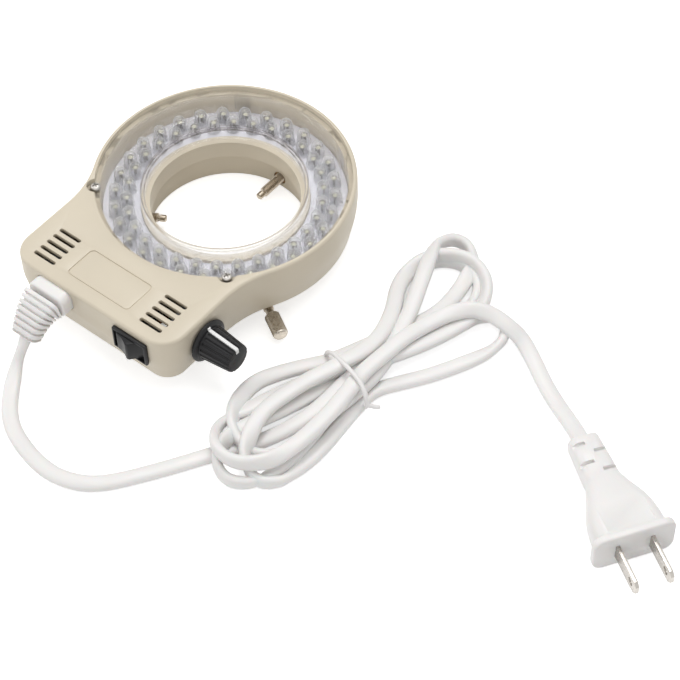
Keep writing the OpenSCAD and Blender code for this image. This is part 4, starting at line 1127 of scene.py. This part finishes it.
knob = put(knob_body(), KNOB_WAY)
dress(knob, "knob_grip", "knob", "black_matte", black_plastic, "dimmer_knob")


def pointer_line():
    """The white line from the skirt to the knob's end, hooked over onto the end face."""
    middle = (SKIRT_TOP + GRIP_END) / 2
    radius = GRIP_BASE_R - SLOPE * (middle - GRIP_START)
    flank = block((0.7 * MM, LINE_WIDTH, GRIP_END - SKIRT_TOP), (0, 0, 0), 0.12 * MM, 2)
    put(flank, at(-radius, 0, middle) @ LEAN)
    end_at = (-GRIP_END_R + 0.9 * MM, 0, GRIP_END)
    carve(flank, block((2.0 * MM, LINE_WIDTH, 0.5 * MM), end_at, 0.1 * MM, 2), "UNION")
    foot = block((1.1 * MM, LINE_WIDTH, 0.5 * MM), (-7.4 * MM, 0, SKIRT_TOP), 0.1 * MM, 2)
    return smooth(join([flank, foot]), 30)


pointer = put(pointer_line(), KNOB_WAY)
dress(pointer, "knob_line", "knob", "white_paint", white_paint, "knob_pointer")


# Connector, boot and plug
nose_low, nose_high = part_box("lead_connector")
NOSE_Y = nose_high.y
BLOCK_Y = nose_low.y
BOOT_RIBS = 7
RIB_SHARE = 0.62
SOCKET_R, SOCKET_DEPTH, SOCKET_SIDE = 1.75 * MM, 9.4 * MM, 4.3 * MM


def boot_at(t):
    """The middle of the boot, from the connector at 0 to the cord at 1."""
    return Vector((INLET_X - 0.6 * MM * t, -81.7 * MM - 10 * MM * t,
                   INLET_Z - 1.5 * MM * t - 7.6 * MM * t * t))


def boot_section(t, width, height, radius):
    """Points of a rounded rectangle across the boot, square to its middle line."""
    ahead = (boot_at(t + 0.01) - boot_at(t - 0.01)).normalized()
    across = Vector((1, 0, 0))
    up = ahead.cross(across).normalized()
    return [boot_at(t) + across * x + up * y for x, y in soft_rectangle(width, height, radius, 4)]


def lofted(rings):
    """A closed skin drawn out from a first ring of points through the next ones."""
    piece = loop_of(rings[0])
    last = rings[0]
    for ring in rings[1:]:
        step = sum((b - a for a, b in zip(last, ring)), Vector()) / len(ring)
        draw_out(step)
        moved = [point + step for point in last]
        for vertex in bmesh.from_edit_mesh(piece.data).verts:
            if vertex.select:
                index = min(range(len(moved)), key=lambda i: (vertex.co - moved[i]).length_squared)
                vertex.co = ring[index]
        bmesh.update_edit_mesh(piece.data)
        last = ring
    return face_outwards(piece)


def ribbed_boot():
    """The strain relief: broad ribs with narrow slots between them, all drawn as one skin."""
    rings = []
    for i in range(BOOT_RIBS):
        start, end = i / BOOT_RIBS, (i + RIB_SHARE) / BOOT_RIBS
        for t, sink in ((start, 0.3), (start + 0.015, 0), (end - 0.015, 0), (end, 0.3),
                        (end + 0.005, 2.3), ((i + 1) / BOOT_RIBS - 0.005, 2.3)):
            shrink = 1 - 0.3 * t
            rings.append(boot_section(t, (16.6 * shrink - sink) * MM, (9.2 * shrink - sink) * MM,
                                      (2.4 - 0.2 * sink) * MM))
    rings.append(boot_section(1, 11.6 * MM, 6.2 * MM, 2.2 * MM))
    return smooth(lofted(rings), 35)


boot = ribbed_boot()
dress(boot, "ribbed_boot", "lead", "white_vinyl", white_vinyl, "connector_boot")

nose = plate(soft_rectangle(17 * MM, 9.6 * MM, 3.2 * MM, 8), 0, NOSE_Y - BLOCK_Y)
round_rim(nose, NOSE_Y - BLOCK_Y, 0.9 * MM, 4)
round_rim(nose, 0, 0.3 * MM, 2)
for side in (-1, 1):
    carve(nose, rod(SOCKET_R, -OVER, SOCKET_DEPTH, 32, (side * SOCKET_SIDE, 0)))
put(nose, at(INLET_X, NOSE_Y, INLET_Z) @ END_WALL)
dress(smooth(nose, 35), "connector_block", "lead", "white_vinyl", white_vinyl, "lead_connector")


# Plug, drawn with its blades along +X
PLUG_WAY = at(*PLUG_PLACE) @ spun(PLUG_TURN)
ALONG_X = Matrix(((0, 0, 1, 0), (1, 0, 0, 0), (0, 1, 0, 0), (0, 0, 0, 1)))
BLADE_SIDE = 6.35 * MM
BLADE_T = 1.5 * MM
BLADE_HOLE_R, BLADE_HOLE_X = 1.5 * MM, 12.3 * MM
FLANGE_W, FLANGE_H, FLANGE_T = 30 * MM, 16 * MM, 3 * MM
SLOT_PITCH = 4.2
# The plug's body from flange to cord, in millimetres: place, width, height and corner radius
PLUG_SECTIONS = [
    (-1.5, 25.6, 14.4, 4), (-5, 25.4, 14.6, 4), (-9, 24.8, 14.5, 4), (-12.5, 23.8, 14.2, 4),
    (-15.5, 22.3, 13.8, 4), (-18.5, 20.0, 13.2, 3.9), (-21.5, 17.2, 12.5, 3.8),
    (-24.5, 14.8, 11.7, 3.6), (-27.0, 13.2, 10.9, 3.4), (-27.5, 12.5, 10.5, 3.2),
    (-33, 12.3, 10.2, 3), (-45.2, 11.5, 8.8, 3), (-45.8, 11.0, 8.3, 2.8), (-46, 10.2, 7.6, 2.6)]


def plug_section(x, width, height, radius):
    """Points of a rounded rectangle across the plug, all values in millimetres."""
    corners = soft_rectangle(width * MM, height * MM, radius * MM, 5)
    return [Vector((x * MM, y, z)) for y, z in corners]


def moulded_plug():
    """The flange, the waisted body with a grip flat on each side, and the slotted strain relief."""
    body = lofted([plug_section(*values) for values in PLUG_SECTIONS])
    flange = plate(soft_rectangle(FLANGE_W, FLANGE_H, 4 * MM, 8), -FLANGE_T, 0)
    for height in (0, -FLANGE_T):
        round_rim(flange, height, 0.8 * MM, 4)
    carve(body, put(flange, ALONG_X), "UNION")
    for side in (-1, 1):
        carve(body, block(*mm([(13, 17, 2), (-10.5, 0, side * 7.9)]), 0.3 * MM, 2))
        for i in range(4):
            centre = (-29.65 - SLOT_PITCH * i, 4.0 if i % 2 == 0 else -4.0, side * 4.4)
            carve(body, block(*mm([(1.5, 6.4, 2.6), centre]), 0.4 * MM, 2))
        carve(body, block((9 * MM, BLADE_T, 6.3 * MM), (-3.5 * MM, side * BLADE_SIDE, 0)))
    ease(body, 0.2 * MM, 2, 50)
    return smooth(body, 35)


def blade():
    """One flat blade with a round hole and chamfered corners at its tip."""
    outline = [(-7.9, -3.15), (14.9, -3.15), (16.5, -1.55), (16.5, 1.55), (14.9, 3.15),
               (-7.9, 3.15)]
    piece = plate(mm(outline), -BLADE_T / 2, BLADE_T / 2)
    carve(piece, rod(BLADE_HOLE_R, -OVER, OVER, 32, (BLADE_HOLE_X, 0)))
    ease(piece, 0.18 * MM, 2, 50)
    return smooth(put(piece, spun(90, "X")), 35)


plug = put(moulded_plug(), PLUG_WAY)
dress(plug, "moulded_plug", "lead", "white_vinyl", white_vinyl, "plug_body")
first_blade = blade()
second_blade = copy_of(first_blade, at(0, BLADE_SIDE))
put(first_blade, at(0, -BLADE_SIDE))
blades = put(join([first_blade, second_blade]), PLUG_WAY)
dress(blades, "plug_contact_blades", "lead", "nickel", nickel, "plug_blades")


# Tie
# The tie's middle line, under the bundle and over it, in millimetres
TIE_LINE = [
    (95, -35.2, 4.5), (93.5, -34.5, 1.2), (83, -30, 1), (73.5, -27.2, 1.1),
    (70.5, -27, 4.5), (71.2, -27.4, 8), (74.5, -28.1, 10.3), (79.5, -29.7, 11.7),
    (85.1, -31.6, 12.8), (89.3, -32.9, 12.8), (92.4, -34, 12), (94.9, -35.2, 10.2),
    (96.1, -36.1, 8), (96.9, -36.2, 6.4), (98, -35.4, 5.8), (99.2, -34.6, 5.4), (100.2, -33.5, 5.2)]
TIE_R = 0.85 * MM
ALONG_BUNDLE = Vector((-0.33, -0.94, 0.1))


def tie_rings(line):
    rings = []
    for i, point in enumerate(line):
        ahead = heading(line, i)
        level = ahead.cross(ALONG_BUNDLE).normalized()
        upright = level.cross(ahead)
        rings.append([point + level * x + upright * y for x, y in arc((0, 0), TIE_R, 0, 330, 11)])
    return rings


tie_line = curved([Vector(point) for point in mm(TIE_LINE)], POINTS_PER_SPAN)
for point in tie_line:
    point.z = max(point.z, TIE_R + TABLE_GAP)
tie = lofted(tie_rings(tie_line))
dress(smooth(tie, 60), "cord_tie", "lead", "white_paint", white_tie, "twist_tie")


# Finishes of the CAD nodes that show as they are
NODE_FINISHES = {
    # The base plate's beige carries painted shade
    "base_plate": beige_painted_shade,
    # The inserts' brass carries painted shade of their holes
    "screw_inserts": brass_with_painted_shade,
    "case_screws": zinc,
    "led_board": moulded("solder_mask", (0.78, 0.78, 0.84), rough=0.35, grain=900, spread=0.03),
    "led_resistors": moulded("resistor_lacquer", (0.52, 0.38, 0.22), rough=0.4, spread=0.1),
    "switch_terminals": zinc,
    "inlet_socket": black_plastic,
    "inlet_pins": nickel,
    "dimmer_pot": moulded("pot_grey", (0.20, 0.21, 0.23), rough=0.35, edge=0.0002, spread=0.1),
    "dimmer_terminals": zinc,
    "dimmer_nut": zinc,
    "dimmer_shaft": zinc,
    "driver_board": moulded("green_mask", (0.03, 0.12, 0.045), rough=0.3, grain=700, spread=0.15),
    "board_standoffs": zinc,
    "transformer_core": moulded("ferrite", (0.035, 0.035, 0.037), rough=0.6, spread=0.2,
                                edge=0.0002),
    "transformer_coil": moulded("coil_tape", (0.60, 0.42, 0.06), rough=0.3, spread=0.1),
    "filter_capacitors": moulded("capacitor_sleeve", (0.012, 0.018, 0.05), rough=0.25, spread=0.2),
    "rectifier": black_plastic,
    "fuse": moulded("fuse_glaze", (0.72, 0.70, 0.65), rough=0.2, spread=0.05),
    "led_wires": moulded("wire_red", (0.20, 0.012, 0.01), rough=0.4, spread=0.15),
    "mains_wires": moulded("wire_brown", (0.12, 0.05, 0.02), rough=0.4, spread=0.15),
    "dimmer_wires": moulded("wire_orange", (0.30, 0.09, 0.012), rough=0.4, spread=0.15),
    "connector_contacts": brass,
}
for name, finish in NODE_FINISHES.items():
    for slot in nodes[name].material_slots:
        slot.material = finish
